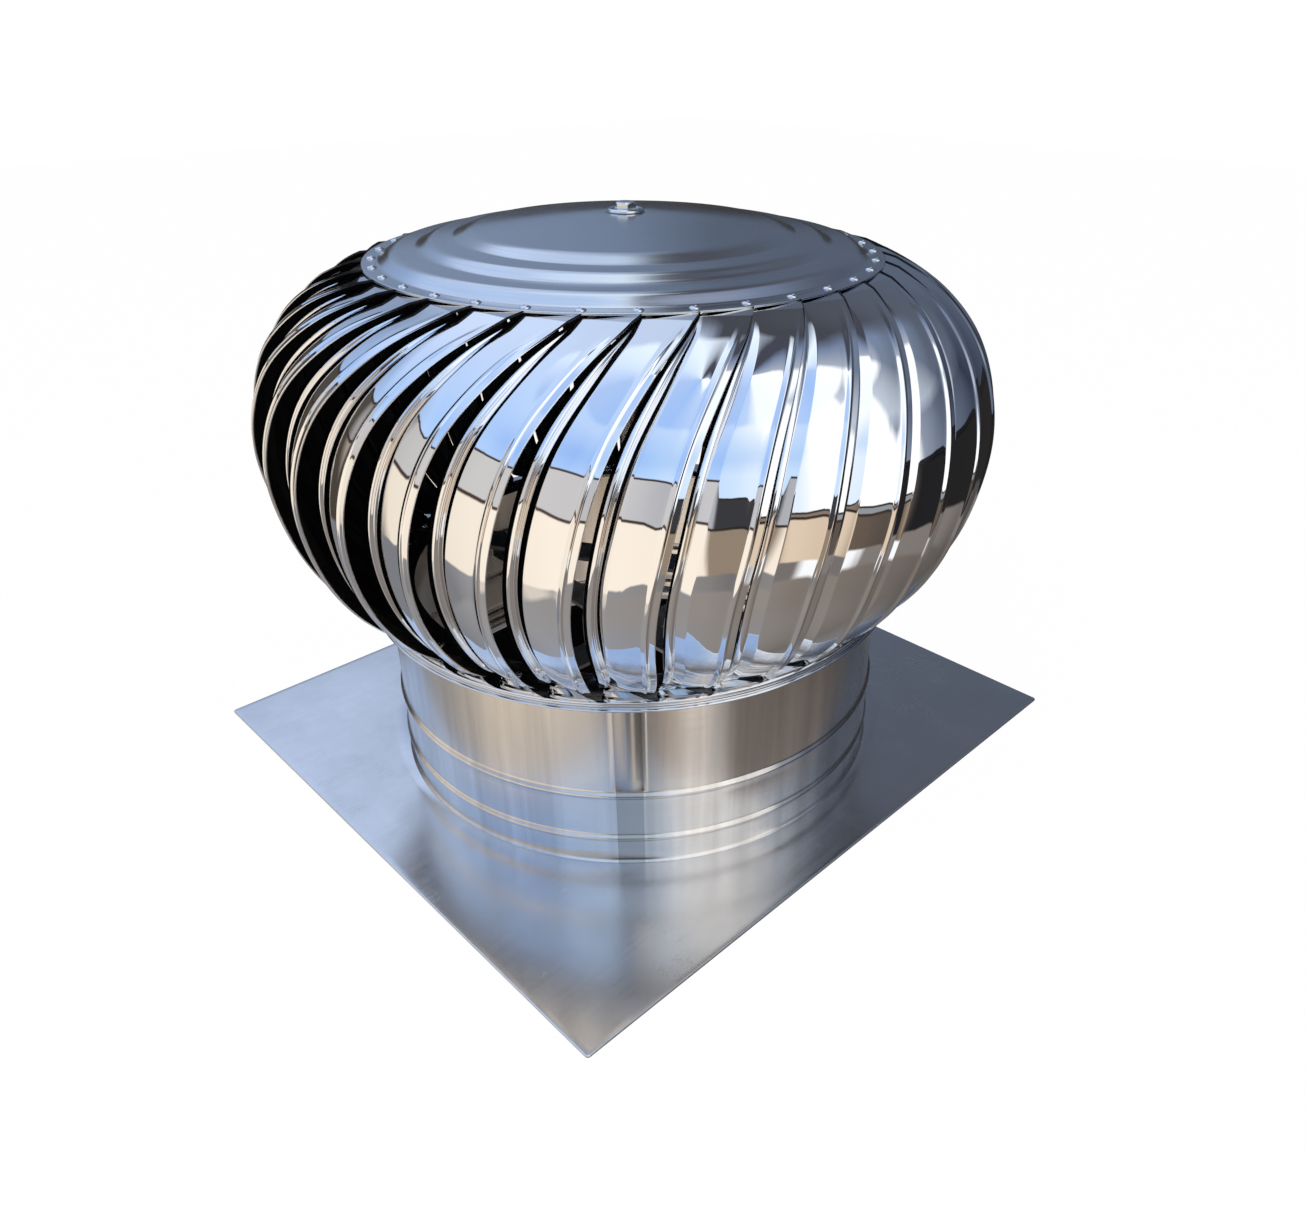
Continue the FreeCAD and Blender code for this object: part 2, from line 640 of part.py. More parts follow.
def blade_section(k):
    """Closed wire of the blade's sheet at one station of its outer line."""
    swirl, depth, form, lean = BLADE_STATIONS[k][1:]
    radius, height = blade_point(k)
    r_before, z_before = blade_point(max(k - 1, 0))
    r_after, z_after = blade_point(min(k + 1, len(BLADE_STATIONS) - 1))
    run = math.hypot(r_after - r_before, z_after - z_before)
    outward = polar(1.0, BLADE_PHASE + swirl)
    along = polar(1.0, BLADE_PHASE + swirl + 90)
    inward = outward * ((z_before - z_after) / run) + UP * ((r_after - r_before) / run)
    back_way = along + outward * (lean * PANEL_SLOPE)
    corner = polar(radius, BLADE_PHASE + swirl, height)
    face = blade_outline(2 * math.pi * radius / BLADE_COUNT, depth, form, line_shares(k))
    back = offset_line(face, BLADE_SHEET_T)
    corners = [corner - back_way * w + inward * d for w, d in face + back[::-1]]
    return Part.makePolygon(corners + corners[:1])


def blade():
    """One curved, swirled and tilted vane with a folded tab at each end."""
    wires = [blade_section(k) for k in range(len(BLADE_STATIONS))]
    vane = Part.makeLoft(wires[TAB_STATIONS:-TAB_STATIONS], True, False)
    lower_tab = Part.makeLoft(wires[:TAB_STATIONS + 1], True, True)
    upper_tab = Part.makeLoft(wires[-TAB_STATIONS - 1:], True, True)
    return vane.fuse(lower_tab).fuse(upper_tab)


def export(shape, node):
    shape.exportStep("parts/" + node + ".step")


def main():
    os.makedirs("parts", exist_ok=True)
    export(flashing(), "base_flashing")
    export(neck(), "neck")
    export(support_bar(0), "support_bar_lower")
    export(turned(support_bar(1), 90), "support_bar_upper")
    export(shaft(), "shaft")
    export(shaft_nuts(), "shaft_nuts")
    export(shaft_washers(), "shaft_washers")
    export(shaft_circlips(), "shaft_circlips")
    for name, bottom in (("lower", LOWER_BEARING_Z), ("upper", UPPER_BEARING_Z)):
        export(inner_race(bottom), name + "_inner_race")
        export(outer_race(bottom), name + "_outer_race")
        export(bearing_balls(bottom), name + "_balls")
        export(bearing_cage(bottom), name + "_cage")
    export(housing_circlips(), "housing_circlips")
    export(rotor_crossbar(), "rotor_crossbar")
    export(crossbar_bolts(), "crossbar_bolts")
    export(upper_housing(), "upper_housing")
    export(cap_bolt(), "cap_bolt")
    export(cap_washer(), "cap_washer")
    export(cap(), "cap")
    export(bottom_ring(), "bottom_ring")
    cap_rivet_r = CAP_FLANGE_R - CAP_RIVET_INSET
    export(rivet_ring(cap_rivet_r, CAP_RIVET_SWIRL, CAP_FLANGE_Z), "cap_rivets")
    ring_rivet_r = RING_SHOULDER_R - RING_RIVET_INSET
    ring_rivet_z = BLADE_BOTTOM_Z + BLADE_SHEET_T + RIVET_GAP
    export(rivet_ring(ring_rivet_r, RING_RIVET_SWIRL, ring_rivet_z), "ring_rivets")
    first = blade()
    for k in range(BLADE_COUNT):
        export(turned(first, k * 360.0 / BLADE_COUNT), "blade_%02d" % (k + 1))


main()
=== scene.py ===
import math

import bpy
import numpy as np
from mathutils import Matrix, Vector


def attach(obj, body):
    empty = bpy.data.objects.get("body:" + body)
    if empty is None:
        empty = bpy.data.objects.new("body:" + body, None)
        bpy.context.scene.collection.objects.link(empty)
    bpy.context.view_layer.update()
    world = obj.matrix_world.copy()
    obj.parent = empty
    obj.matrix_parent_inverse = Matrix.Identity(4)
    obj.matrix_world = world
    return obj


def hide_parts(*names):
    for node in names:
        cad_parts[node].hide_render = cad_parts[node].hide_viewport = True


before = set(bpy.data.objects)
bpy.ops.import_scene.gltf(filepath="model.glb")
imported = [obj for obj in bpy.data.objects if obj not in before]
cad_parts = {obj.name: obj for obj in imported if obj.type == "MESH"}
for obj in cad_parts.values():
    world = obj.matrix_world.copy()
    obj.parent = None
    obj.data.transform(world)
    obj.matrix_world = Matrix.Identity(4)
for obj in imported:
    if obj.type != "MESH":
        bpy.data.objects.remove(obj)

bl_info = {
    "name": "Roof turbine ventilator",
    "version": (1, 0, 0),
    "blender": (4, 2, 0),
    "location": "3D View > Sidebar > Ventilator",
    "description": "Builds the dressed surfaces of a roof turbine ventilator over its CAD frame",
    "category": "Add Mesh",
}

MM = 0.001

# Blades: how many, and the first one's angle in degrees about the axis
COUNT = 34
PITCH = 360.0 / COUNT
PHASE = -148.6

# Blade's outermost line, from the bottom ring to the cap: radius, height, swirl angle, share
# of the depth, share of the pressed form, share of the panel's tilt
STATIONS = np.array((
    (236.0, 192.5, -1.4, 0.0, 0.0, 0.0),
    (254.0, 192.5, -1.2, 0.0, 0.0, 0.5),
    (262.0, 197.1, -1.1, 0.35, 0.4, 1.0),
    (277.0, 208.4, -1.0, 0.8, 0.9, 1.0),
    (297.0, 228.9, -0.9, 1.0, 1.0, 1.0),
    (322.0, 270.9, -1.3, 1.0, 1.0, 1.0),
    (336.5, 320.1, -0.9, 1.0, 1.0, 1.0),
    (340.5, 360.9, 0.4, 1.0, 1.0, 1.0),
    (334.5, 400.0, 2.2, 1.0, 1.0, 1.0),
    (319.0, 436.2, 5.0, 1.0, 1.0, 1.0),
    (298.0, 461.9, 8.6, 0.95, 0.9, 1.0),
    (273.0, 481.5, 12.9, 0.75, 0.6, 1.0),
    (257.0, 489.7, 15.7, 0.42, 0.3, 1.0),
    (242.0, 496.3, 18.2, 0.0, 0.0, 1.0),
    (231.0, 498.6, 19.9, 0.0, 0.0, 1.0),
    (208.0, 498.6, 23.4, 0.0, 0.0, 0.0),
))
SLOPE = math.tan(math.radians(21.0))

# Stations of the two folds, and the rows of the flat tabs beyond them: from one station to
# another, at shares of the way
FIRST_FOLD = 2
LAST_FOLD = 13
LOW_TAB = ((0, 1, (0.0, 0.5)), (1, 2, (0.0, 0.06, 0.5, 0.92)))
TOP_TAB = ((13, 14, (0.06, 0.5, 0.94)), (14, 15, (0.04, 0.5, 1.0)))
TAB_ROWS = 12

# Pressed section of a blade in mm, as distances back from the free edge and depths: rolled edge,
# rib, margin, panel, lap under the next blade (more where the pitch is wide), channel, its steep
# wall, ledge, crowned points of the panel and the cuts of the bends
EDGE_W = (1.0, 0.45, 0.9)
EDGE_D = (1.5, 0.5, -0.3)
RIB_W = (6.0, 7.8, 9.4)
RIB_D = (1.1, 0.05, 1.15)
MARGIN_W = 9.0
PANEL_W, PANEL_D = 11.0, 1.7
LAP, LAP_GROWTH = 22.2, 3.0
LAP_FROM, LAP_OVER = 45.0, 20.0
CHANNEL_W, CHANNEL_D = 8.0, 6.6
WALL_W, WALL_D = 1.2, 3.4
LEDGE_W, LEDGE_D = 6.4, 1.2
CROWN_SHARES = (0.25, 0.5, 0.75)
EDGE_BENDS = (0.5, 0.7, 1.4, 1.2, 1.2, 1.6, 6.0, 6.0, 6.0)

# Places of the same section points on a flat tab, in shares of the pitch: at the folds, at
# the tab's end on the ring, and at its end under the cap
FOLD_TAB = np.array((0.032, 0.03, 0.033, 0.10, 0.14, 0.18, 0.24, 0.38, 0.5, 0.64, 0.78, 0.82, 0.85, 0.88))
RING_TAB = np.array((0.402, 0.40, 0.403, 0.43, 0.45, 0.47, 0.50, 0.58, 0.65, 0.72, 0.79, 0.81, 0.83, 0.85))
ROOF_TAB = np.array((0.032, 0.03, 0.033, 0.09, 0.12, 0.15, 0.20, 0.32, 0.43, 0.54, 0.64, 0.67, 0.70, 0.72))

# Waves left in a panel: share of the height, waves along the blade and across it, the stretch
# of the section that they cover, and the blades' random turn in degrees
WAVES = ((1.0, 14, 0), (1.0, 27, 3), (0.6, 43, -4), (0.5, 5, 0))
WAVE_FROM, WAVE_OVER = 0.3, 0.45
TURN_SPREAD = 0.06

# Outlines turned about the axis in mm, radius and height; the step between their columns in
# degrees, and the largest share of either side that a rounded corner takes
FINE_STEP = 1.25
CUT_SHARE = 0.45
CAP_SHEET = 1.2
CAP_TOP = (
    (229.2, 499.35), (230.0, 499.5), (229.2, 500.0), (216.0, 500.0), (212.5, 502.5), (206.0, 507.3),
    (202.0, 508.6), (183.5, 509.6), (180.0, 511.0), (174.0, 514.6), (170.5, 515.8), (151.0, 516.8),
    (147.5, 518.2), (139.0, 521.8), (134.0, 523.0), (70.0, 529.6), (30.0, 532.6), (5.2, 533.2),
)
CAP_BENDS = (0.3, 0.3, 2.5, 2.2, 2.2, 2.2, 2.2, 2.0, 2.2, 2.2, 2.2, 2.0, 2.5, 3.0, 16.0, 10.0)
WASHER = (
    (5.3, 533.3), (5.3, 534.8), (10.5, 534.8), (12.6, 535.7), (14.6, 535.9), (16.2, 535.0), (16.8, 533.3),
)
RIVET = (
    (0.0, 1.25), (1.0, 1.25), (1.35, 1.62), (2.2, 1.7), (3.1, 1.35), (3.8, 0.8), (4.3, 0.35), (4.3, 0.0),
    (0.0, 0.0),
)
# Rivets: node, radius, swirl angle and seat
RIVET_RINGS = (("cap_rivets", 222.0, 19.3, 500.0), ("ring_rivets", 244.0, -7.4, 193.8))
RING_OUTLINE = (
    (224.0, 191.1), (224.0, 192.3), (261.2, 192.3), (263.2, 191.9), (264.9, 190.6), (265.0, 189.0),
    (264.0, 187.6), (262.3, 187.0), (262.0, 186.2), (262.2, 185.4), (263.3, 185.0), (263.8, 184.5),
    (263.5, 184.0), (264.2, 183.8), (265.3, 183.0), (265.5, 182.0), (264.6, 181.1), (263.2, 181.0),
    (262.4, 181.6), (260.8, 184.0), (260.8, 191.1),
)

# Neck in mm: radius, sheet, how far the inner side follows the rolled edge, then steps out from
# the radius at heights, plain stretches, beads and the lap seam (angle, half width, edge and
# distance to the next column in degrees; lift and heights)
NECK_R = 250.0
NECK_SHEET = 1.2
NECK_INNER_STEP = 1.4
NECK_FOOT = ((2.5, 2.62), (2.4, 3.3), (1.0, 4.0), (0.25, 5.0), (0.0, 7.0), (0.0, 14.0), (0.0, 22.0))
NECK_LOWER = (40.0, 55.0, 70.0)
NECK_UPPER = (86.0, 100.0, 120.0, 140.0, 160.0, 175.0, 179.0, 181.0)
NECK_ROLL = ((1.6, 181.8), (2.4, 183.6), (1.6, 185.4), (0.0, 186.0))
BEAD_HEIGHT, BEAD_HALF = 2.6, 5.0
LOWER_BEAD, UPPER_BEAD = 31.0, 80.0
SEAM, SEAM_HALF, SEAM_STEP, SEAM_GAP = -133.6, 2.8, 0.05, 1.2
SEAM_LIFT, SEAM_LOW, SEAM_TOP = 0.9, 85.5, 180.0

# Flashing in mm: half sides, corner radius, heights of the sheet, hem, collar and outer edge
PLATE_X, PLATE_Y, PLATE_CORNER = 333.0, 311.0, 3.0
PLATE_LOW, PLATE_TOP, PLATE_HEM = 1.4, 2.6, 14.0
THROAT_R = 249.65
COLLAR_BEND = (248.4, 2.2)
COLLAR = ((247.45, 5.4), (247.45, 19.4), (248.65, 19.4), (248.65, 4.0), (249.2, 2.9), (THROAT_R, PLATE_TOP))
FLASHING_EDGE = (
    (6.0, PLATE_TOP), (1.2, PLATE_TOP), (0.45, 2.48), (0.1, 2.1), (0.0, 1.6), (0.0, 1.0), (0.1, 0.5),
    (0.45, 0.12), (1.2, 0.0), (13.7, 0.0), (PLATE_HEM, 0.3), (PLATE_HEM, PLATE_LOW),
)

# Stage: the floor and the disc of painted shade on it inside the throat, the floor's share of plain
# white, the strength of the even light, the picture's shift, the way to the photograph's camera, the
# heights in degrees that a ramp holds, and the lamps (where they aim, then place, size and power of each)
FLOOR_Z = -0.0005
THROAT_SHADE_R, THROAT_SHADE_EDGE = 0.25, 0.26
THROAT_SHADE_COLOUR = (0.02, 0.02, 0.02, 1.0)
FLOOR_COLOUR = (0.8, 0.8, 0.8, 1.0)
FLOOR_GLOW, AMBIENT = 0.98, 0.75
SENSOR_WIDTH, SHIFT_X, SHIFT_Y = 36.0, -0.0345, -0.0044
VIEW_HEADING = math.radians(41.1)
RISE_SHIFT, RISE_SPAN = 60.0, 120.0
LAMP_AIM = (0.0, 0.0, 0.3)
LAMPS = (
    ("key lamp", (-1.6, -0.5, 2.2), 1.6, 26.0),
    ("side lamp", (0.6, -2.0, 1.1), 1.0, 9.0),
)


class VentBladeSettings(bpy.types.PropertyGroup):
    sheet: bpy.props.FloatProperty(
        name="Sheet", description="Thickness of a blade's sheet", default=0.0010, unit="LENGTH")
    crease: bpy.props.FloatProperty(
        name="Crease", description="Length taken by each bend of the pressed section",
        default=0.0012, unit="LENGTH")
    crown: bpy.props.FloatProperty(
        name="Crown", description="Outward bow of the wide panel between its creases",
        default=0.0007, unit="LENGTH")
    ripple: bpy.props.FloatProperty(
        name="Ripple", description="Height of the waves left by forming the sheet",
        default=0.00015, unit="LENGTH")
    rows: bpy.props.IntProperty(
        name="Rows", description="Mesh rows along a blade", default=84, min=20)
    seed: bpy.props.IntProperty(
        name="Seed", description="Start of the random differences between blades", default=11)


class VentFinishSettings(bpy.types.PropertyGroup):
    polished: bpy.props.FloatVectorProperty(
        name="Polished sheet", description="Colour of the mirror polished blades", subtype="COLOR",
        size=3, default=(0.84, 0.85, 0.87), min=0.0, max=1.0)
    satin: bpy.props.FloatVectorProperty(
        name="Neck sheet", description="Colour of the satin neck", subtype="COLOR",
        size=3, default=(0.82, 0.79, 0.76), min=0.0, max=1.0)
    plate: bpy.props.FloatVectorProperty(
        name="Flashing sheet", description="Colour of the satin roof flashing", subtype="COLOR",
        size=3, default=(0.77, 0.78, 0.80), min=0.0, max=1.0)
    spun: bpy.props.FloatVectorProperty(
        name="Spun sheet", description="Colour of the cap and the bottom ring", subtype="COLOR",
        size=3, default=(0.74, 0.765, 0.80), min=0.0, max=1.0)
    # Inner side of the blades: its nearly black colour is painted shade of the rotor's dark inside
    inner_shade: bpy.props.FloatVectorProperty(
        name="Inner side", description="Colour of the unpolished inner side of the blades", subtype="COLOR",
        size=3, default=(0.03, 0.03, 0.033), min=0.0, max=1.0)
    plain: bpy.props.FloatVectorProperty(
        name="Plain steel", description="Colour of the bars, the hub and the spindle", subtype="COLOR",
        size=3, default=(0.36, 0.37, 0.38), min=0.0, max=1.0)
    brass: bpy.props.FloatVectorProperty(
        name="Brass", description="Colour of the bearing cages", subtype="COLOR",
        size=3, default=(0.62, 0.44, 0.18), min=0.0, max=1.0)


class VentStageSettings(bpy.types.PropertyGroup):
    camera: bpy.props.FloatVectorProperty(
        name="Camera place", description="Where the camera stands", subtype="TRANSLATION",
        size=3, default=(-0.6288, -0.7199, 0.6784), unit="LENGTH")
    heading: bpy.props.FloatProperty(
        name="Heading", description="Camera's turn from +Y towards +X",
        default=math.radians(45.06), unit="ROTATION")
    pitch: bpy.props.FloatProperty(
        name="Pitch", description="Camera's tilt above the level",
        default=math.radians(-29.31), unit="ROTATION")
    roll: bpy.props.FloatProperty(
        name="Roll", description="Camera's turn about its own axis",
        default=math.radians(0.32), unit="ROTATION")
    lens: bpy.props.FloatProperty(
        name="Lens", description="Focal length in millimetres", default=28.21, min=1.0, unit="CAMERA")
    floor: bpy.props.FloatProperty(
        name="Floor", description="Side of the floor", default=12.0, unit="LENGTH")


class Socket:
    """A node socket that takes part in Python expressions."""

    def __init__(self, tree, socket):
        self.tree = tree
        self.socket = socket

    def math(self, operation, *others):
        return self.tree.node("ShaderNodeMath", {"operation": operation}, dict(enumerate((self,) + others)))

    def __add__(self, other):
        return self.math("ADD", other)

    __radd__ = __add__

    def __mul__(self, other):
        return self.math("MULTIPLY", other)

    __rmul__ = __mul__

    def __sub__(self, other):
        return self.math("SUBTRACT", other)

    def __rsub__(self, other):
        return (self * -1.0) + other

    def __truediv__(self, other):
        return self.math("DIVIDE", other)

    def clamp(self):
        return self.tree.node("ShaderNodeClamp", {}, {"Value": self})


class Tree:
    """A node tree that is filled through one method."""

    def __init__(self, tree):
        self.tree = tree
        self.tree.nodes.clear()

    def node(self, kind, settings=None, inputs=None, output=0):
        made = self.tree.nodes.new(kind)
        for key, value in (settings or {}).items():
            if key == "stops":
                ramp = made.color_ramp
                ramp.interpolation = "LINEAR"
                while len(ramp.elements) > 1:
                    ramp.elements.remove(ramp.elements[-1])
                for k, (place, colour) in enumerate(value):
                    stop = ramp.elements[0] if k == 0 else ramp.elements.new(place)
                    stop.position = place
                    stop.color = tuple(colour) + (1.0,)
            else:
                setattr(made, key, value)
        for key, value in (inputs or {}).items():
            if isinstance(value, Socket):
                self.tree.links.new(value.socket, made.inputs[key])
            else:
                made.inputs[key].default_value = value
        return Socket(self, made.outputs[output]) if made.outputs else made

    def mix(self, factor, first, second):
        return self.node("ShaderNodeMix", {"data_type": "RGBA"}, {0: factor, 6: first, 7: second}, 2)

    def ramp(self, value, stops):
        return self.node("ShaderNodeValToRGB", {"stops": stops}, {"Fac": value})

    def grey(self, value, stops):
        """Ramp between plain numbers."""
        return self.ramp(value, [(place, (level,) * 3) for place, level in stops])

    def noise(self, place, scale, detail=3.0, rough=0.5):
        return self.node("ShaderNodeTexNoise", {"noise_dimensions": "3D"},
                         {"Vector": place, "Scale": scale, "Detail": detail, "Roughness": rough})

    def stretch(self, place, scale):
        return self.node("ShaderNodeMapping", {}, {"Vector": place, "Scale": scale})

    def object_place(self):
        return self.node("ShaderNodeTexCoord", output="Object")

    def split(self, value):
        """X, Y and Z of a vector."""
        parts = self.node("ShaderNodeSeparateXYZ", {}, {0: value})
        return [Socket(self, parts.socket.node.outputs[k]) for k in range(3)]

    def join(self, x, y, z):
        return self.node("ShaderNodeCombineXYZ", {}, {0: x, 1: y, 2: z})


def finish(name, colour):
    """New metal material; returns the material, its tree and its shader node."""
    made = bpy.data.materials.new(name)
    made.use_nodes = True
    tree = Tree(made.node_tree)
    shader = tree.node("ShaderNodeBsdfPrincipled", {}, {"Metallic": 1.0, "Base Color": darker(colour, 1.0)})
    tree.node("ShaderNodeOutputMaterial", {}, {"Surface": shader})
    return made, tree, shader.socket.node


def darker(colour, share):
    """Opaque colour with its channels taken down to a share."""
    return tuple(share * c for c in colour) + (1.0,)


def drive(tree, shader, name, value):
    tree.tree.links.new(value.socket, shader.inputs[name])


def polar_place(tree):
    """Radius and angle about the turbine axis from the object's coordinates."""
    place = tree.object_place()
    x, y, z = tree.split(place)
    radius = (x * x + y * y).math("SQRT")
    angle = y.math("ARCTAN2", x)
    return place, radius, angle, z


def polished_finish(settings):
    """Mirror sheet with faint cloudy haze and a few fine wipe marks."""
    made, tree, shader = finish("polished sheet", settings.polished)
    place = tree.object_place()
    haze = tree.noise(place, 16.0, 4.0, 0.6)
    wipes = tree.noise(tree.stretch(place, (90.0, 90.0, 9.0)), 1.0, 3.0, 0.6)
    rough = tree.grey(haze, ((0.4, 0.012), (0.75, 0.05))) + tree.grey(wipes, ((0.6, 0.0), (0.85, 0.03)))
    drive(tree, shader, "Roughness", rough)
    return made


def inner_shade_finish(settings):
    """Unpolished inner side of the blades, painted nearly black as painted shade of the rotor's dark
    inside, with blotches of dust.
    """
    return worked_finish("inner side", settings.inner_shade, 0.6, 0.08, 9.0)


def worked_finish(name, colour, level, spread, scale):
    """Machined or plated metal: blotches that change the roughness and darken the colour a little."""
    made, tree, shader = finish(name, colour)
    blotch = tree.noise(tree.object_place(), scale, 4.0, 0.6)
    drive(tree, shader, "Roughness", tree.grey(blotch, ((0.3, level - spread), (0.7, level + spread))))
    shade = tree.mix(tree.grey(blotch, ((0.35, 0.0), (0.7, 1.0))), darker(colour, 1.0), darker(colour, 0.8))
    drive(tree, shader, "Base Color", shade)
    return made


def satin_flat_finish(settings):
    """Satin flashing with cloudy handling marks and a faint rolled grain along X."""
    made, tree, shader = finish("satin flashing", settings.plate)
    place = tree.object_place()
    grain = tree.noise(tree.stretch(place, (4.0, 300.0, 40.0)), 1.0, 3.0, 0.5)
    cloud = tree.noise(place, 5.5, 5.0, 0.62)
    smear = tree.noise(tree.stretch(place, (26.0, 14.0, 20.0)), 1.0, 5.0, 0.7)
    rough = (tree.grey(grain, ((0.3, 0.17), (0.7, 0.21))) + tree.grey(cloud, ((0.35, 0.0), (0.7, 0.09)))
             + tree.grey(smear, ((0.5, 0.0), (0.75, 0.06))))
    drive(tree, shader, "Roughness", rough)
    clouds = tree.grey(cloud, ((0.35, 0.0), (0.7, 1.0)))
    shade = tree.mix(clouds, darker(settings.plate, 1.0), darker(settings.plate, 0.84))
    drive(tree, shader, "Base Color", shade)
    return made


def satin_round_finish(name, colour, level, streak, seam=None):
    """Satin sheet spun or rolled round: the grain runs around the axis, a lapped strip is darker. With a
    seam, darker vertical streaks are painted in as painted reflection streaks.
    """
    made, tree, shader = finish(name, colour)
    place, radius, angle, z = polar_place(tree)
    rings = tree.noise(tree.join(radius * 900.0, angle * 2.5, z * 900.0), 1.0, 3.0, 0.6)
    cloud = tree.noise(place, 7.0, 4.0, 0.6)
    rough = (tree.grey(rings, ((0.3, level - streak), (0.7, level + streak)))
             + tree.grey(cloud, ((0.35, 0.0), (0.7, 0.06))))
    drive(tree, shader, "Roughness", rough)
    dark = tree.grey(rings, ((0.3, 0.0), (0.7, 0.5))) + tree.grey(cloud, ((0.4, 0.0), (0.8, 0.5)))
    shade = tree.mix(dark.clamp(), darker(colour, 1.0), darker(colour, 0.86))
    if seam:
        # Painted reflection: random darker vertical streaks stand in for the neck's streaky reflections
        streak_noise = tree.noise(tree.join(angle * 5.0, z * 0.8, 0.0), 1.0, 4.0, 0.6)
        painted_streaks = tree.grey(streak_noise, ((0.42, 0.0), (0.62, 1.0)))
        shade = tree.mix(painted_streaks, shade, darker(colour, 0.68))
        low, high = (math.radians(a) for a in seam)
        inside = angle.math("GREATER_THAN", low) * angle.math("LESS_THAN", high)
        shade = tree.mix(inside, shade, darker(colour, 0.55))
        shader.inputs["Anisotropic"].default_value = 0.8
        shader.inputs["Anisotropic Rotation"].default_value = 0.25
    drive(tree, shader, "Base Color", shade)
    return made


def surface(name, points, closed_rows=False, closed_cols=True, caps=False, slots=None, materials=()):
    """Mesh object from a grid of points, rows by columns.

    Quads join neighbours; a closed direction joins the last line to the first. With caps, each
    end row of a closed thin section is filled by quads between its first half and the mirrored
    second half. The faces are turned outward by the sign of the enclosed volume.
    """
    rows, cols = points.shape[:2]
    index = np.arange(rows * cols).reshape(rows, cols)
    r_count = rows if closed_rows else rows - 1
    c_count = cols if closed_cols else cols - 1
    a = index[:r_count, :c_count]
    b = np.roll(index, -1, 1)[:r_count, :c_count]
    c = np.roll(np.roll(index, -1, 0), -1, 1)[:r_count, :c_count]
    d = np.roll(index, -1, 0)[:r_count, :c_count]
    quads = np.stack((a, b, c, d), -1).reshape(-1, 4)
    tone = np.zeros(len(quads), int)
    if slots is not None:
        tone = np.tile(slots[:c_count], (r_count, 1)).reshape(-1)
    if caps:
        half = cols // 2
        lid = []
        for row, flip in ((0, False), (rows - 1, True)):
            near = index[row, :half]
            far = index[row, ::-1][:half]
            quad = np.stack((near[:-1], far[:-1], far[1:], near[1:]), -1)
            lid.append(quad[:, ::-1] if flip else quad)
        quads = np.concatenate([quads] + lid)
        tone = np.concatenate([tone] + [np.zeros(len(q), int) for q in lid])
    flat = points.reshape(-1, 3)
    p = flat[quads]
    volume = (np.einsum("ij,ij->i", p[:, 0], np.cross(p[:, 1], p[:, 2])).sum()
              + np.einsum("ij,ij->i", p[:, 0], np.cross(p[:, 2], p[:, 3])).sum())
    if volume < 0:
        quads = quads[:, ::-1]
    mesh = bpy.data.meshes.new(name)
    mesh.vertices.add(len(flat))
    mesh.vertices.foreach_set("co", flat.astype(np.float32).ravel())
    mesh.loops.add(quads.size)
    mesh.loops.foreach_set("vertex_index", quads.astype(np.int32).ravel())
    mesh.polygons.add(len(quads))
    mesh.polygons.foreach_set("loop_start", np.arange(0, quads.size, 4, dtype=np.int32))
    for material in materials:
        mesh.materials.append(material)
    mesh.polygons.foreach_set("material_index", tone.astype(np.int32))
    mesh.polygons.foreach_set("use_smooth", np.ones(len(quads), bool))
    mesh.update(calc_edges=True)
    mesh.validate()
    obj = bpy.data.objects.new(name, mesh)
    bpy.context.scene.collection.objects.link(obj)
    return obj


def rounded(line, cut, steps=4):
    """Open line with each inner corner replaced by a short curve.

    line is (..., corners, 2) or (..., corners, 3). Each corner P gives points of the quadratic
    curve from P - c u to P + c v, with c the smaller of the cut and a share of either side.
    """
    line = np.asarray(line, float)
    cut = np.broadcast_to(cut, line.shape[-2] - 2)
    before = line[..., :-2, :] - line[..., 1:-1, :]
    after = line[..., 2:, :] - line[..., 1:-1, :]
    len_b = np.linalg.norm(before, axis=-1, keepdims=True)
    len_a = np.linalg.norm(after, axis=-1, keepdims=True)
    c = np.minimum(cut[..., None], CUT_SHARE * np.minimum(len_b, len_a))
    corner = line[..., 1:-1, :]
    start = corner + before / np.maximum(len_b, 1e-9) * c
    end = corner + after / np.maximum(len_a, 1e-9) * c
    t = np.linspace(0.0, 1.0, steps + 1)[:, None]
    arc = ((1 - t) ** 2 * start[..., None, :] + 2 * t * (1 - t) * corner[..., None, :]
           + t ** 2 * end[..., None, :])
    arc = arc.reshape(arc.shape[:-3] + (-1, line.shape[-1]))
    return np.concatenate((line[..., :1, :], arc, line[..., -1:, :]), -2)


def spin(profile, angles):
    """Surface of revolution: a closed outline of radius and height in mm at each angle in degrees."""
    r, z = np.asarray(profile, float).T
    a = np.radians(angles)[:, None]
    return np.stack((r * np.cos(a), r * np.sin(a), z + 0 * a), -1) * MM


def natural_spline(t, values, at):
    """Natural cubic curve through values at t, read at other places."""
    n = len(t)
    h = np.diff(t)
    matrix = np.zeros((n, n))
    right = np.zeros((n, values.shape[1]))
    matrix[0, 0] = matrix[-1, -1] = 1.0
    k = np.arange(1, n - 1)
    matrix[k, k - 1] = h[:-1]
    matrix[k, k] = 2 * (h[:-1] + h[1:])
    matrix[k, k + 1] = h[1:]
    slope = np.diff(values, axis=0) / h[:, None]
    right[1:-1] = 6 * np.diff(slope, axis=0)
    bend = np.linalg.solve(matrix, right)
    i = np.clip(np.searchsorted(t, at, side="right") - 1, 0, n - 2)
    lo = ((t[i + 1] - at) / h[i])[:, None]
    hi = 1 - lo
    hh = (h[i] ** 2)[:, None] / 6
    curve = ((lo ** 3 - lo) * bend[i] + (hi ** 3 - hi) * bend[i + 1]) * hh
    return lo * values[i] + hi * values[i + 1] + curve


def ride_as(obj, body, *nodes):
    """Put a piece on its body, in place of the CAD nodes."""
    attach(obj, body)
    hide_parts(*nodes)


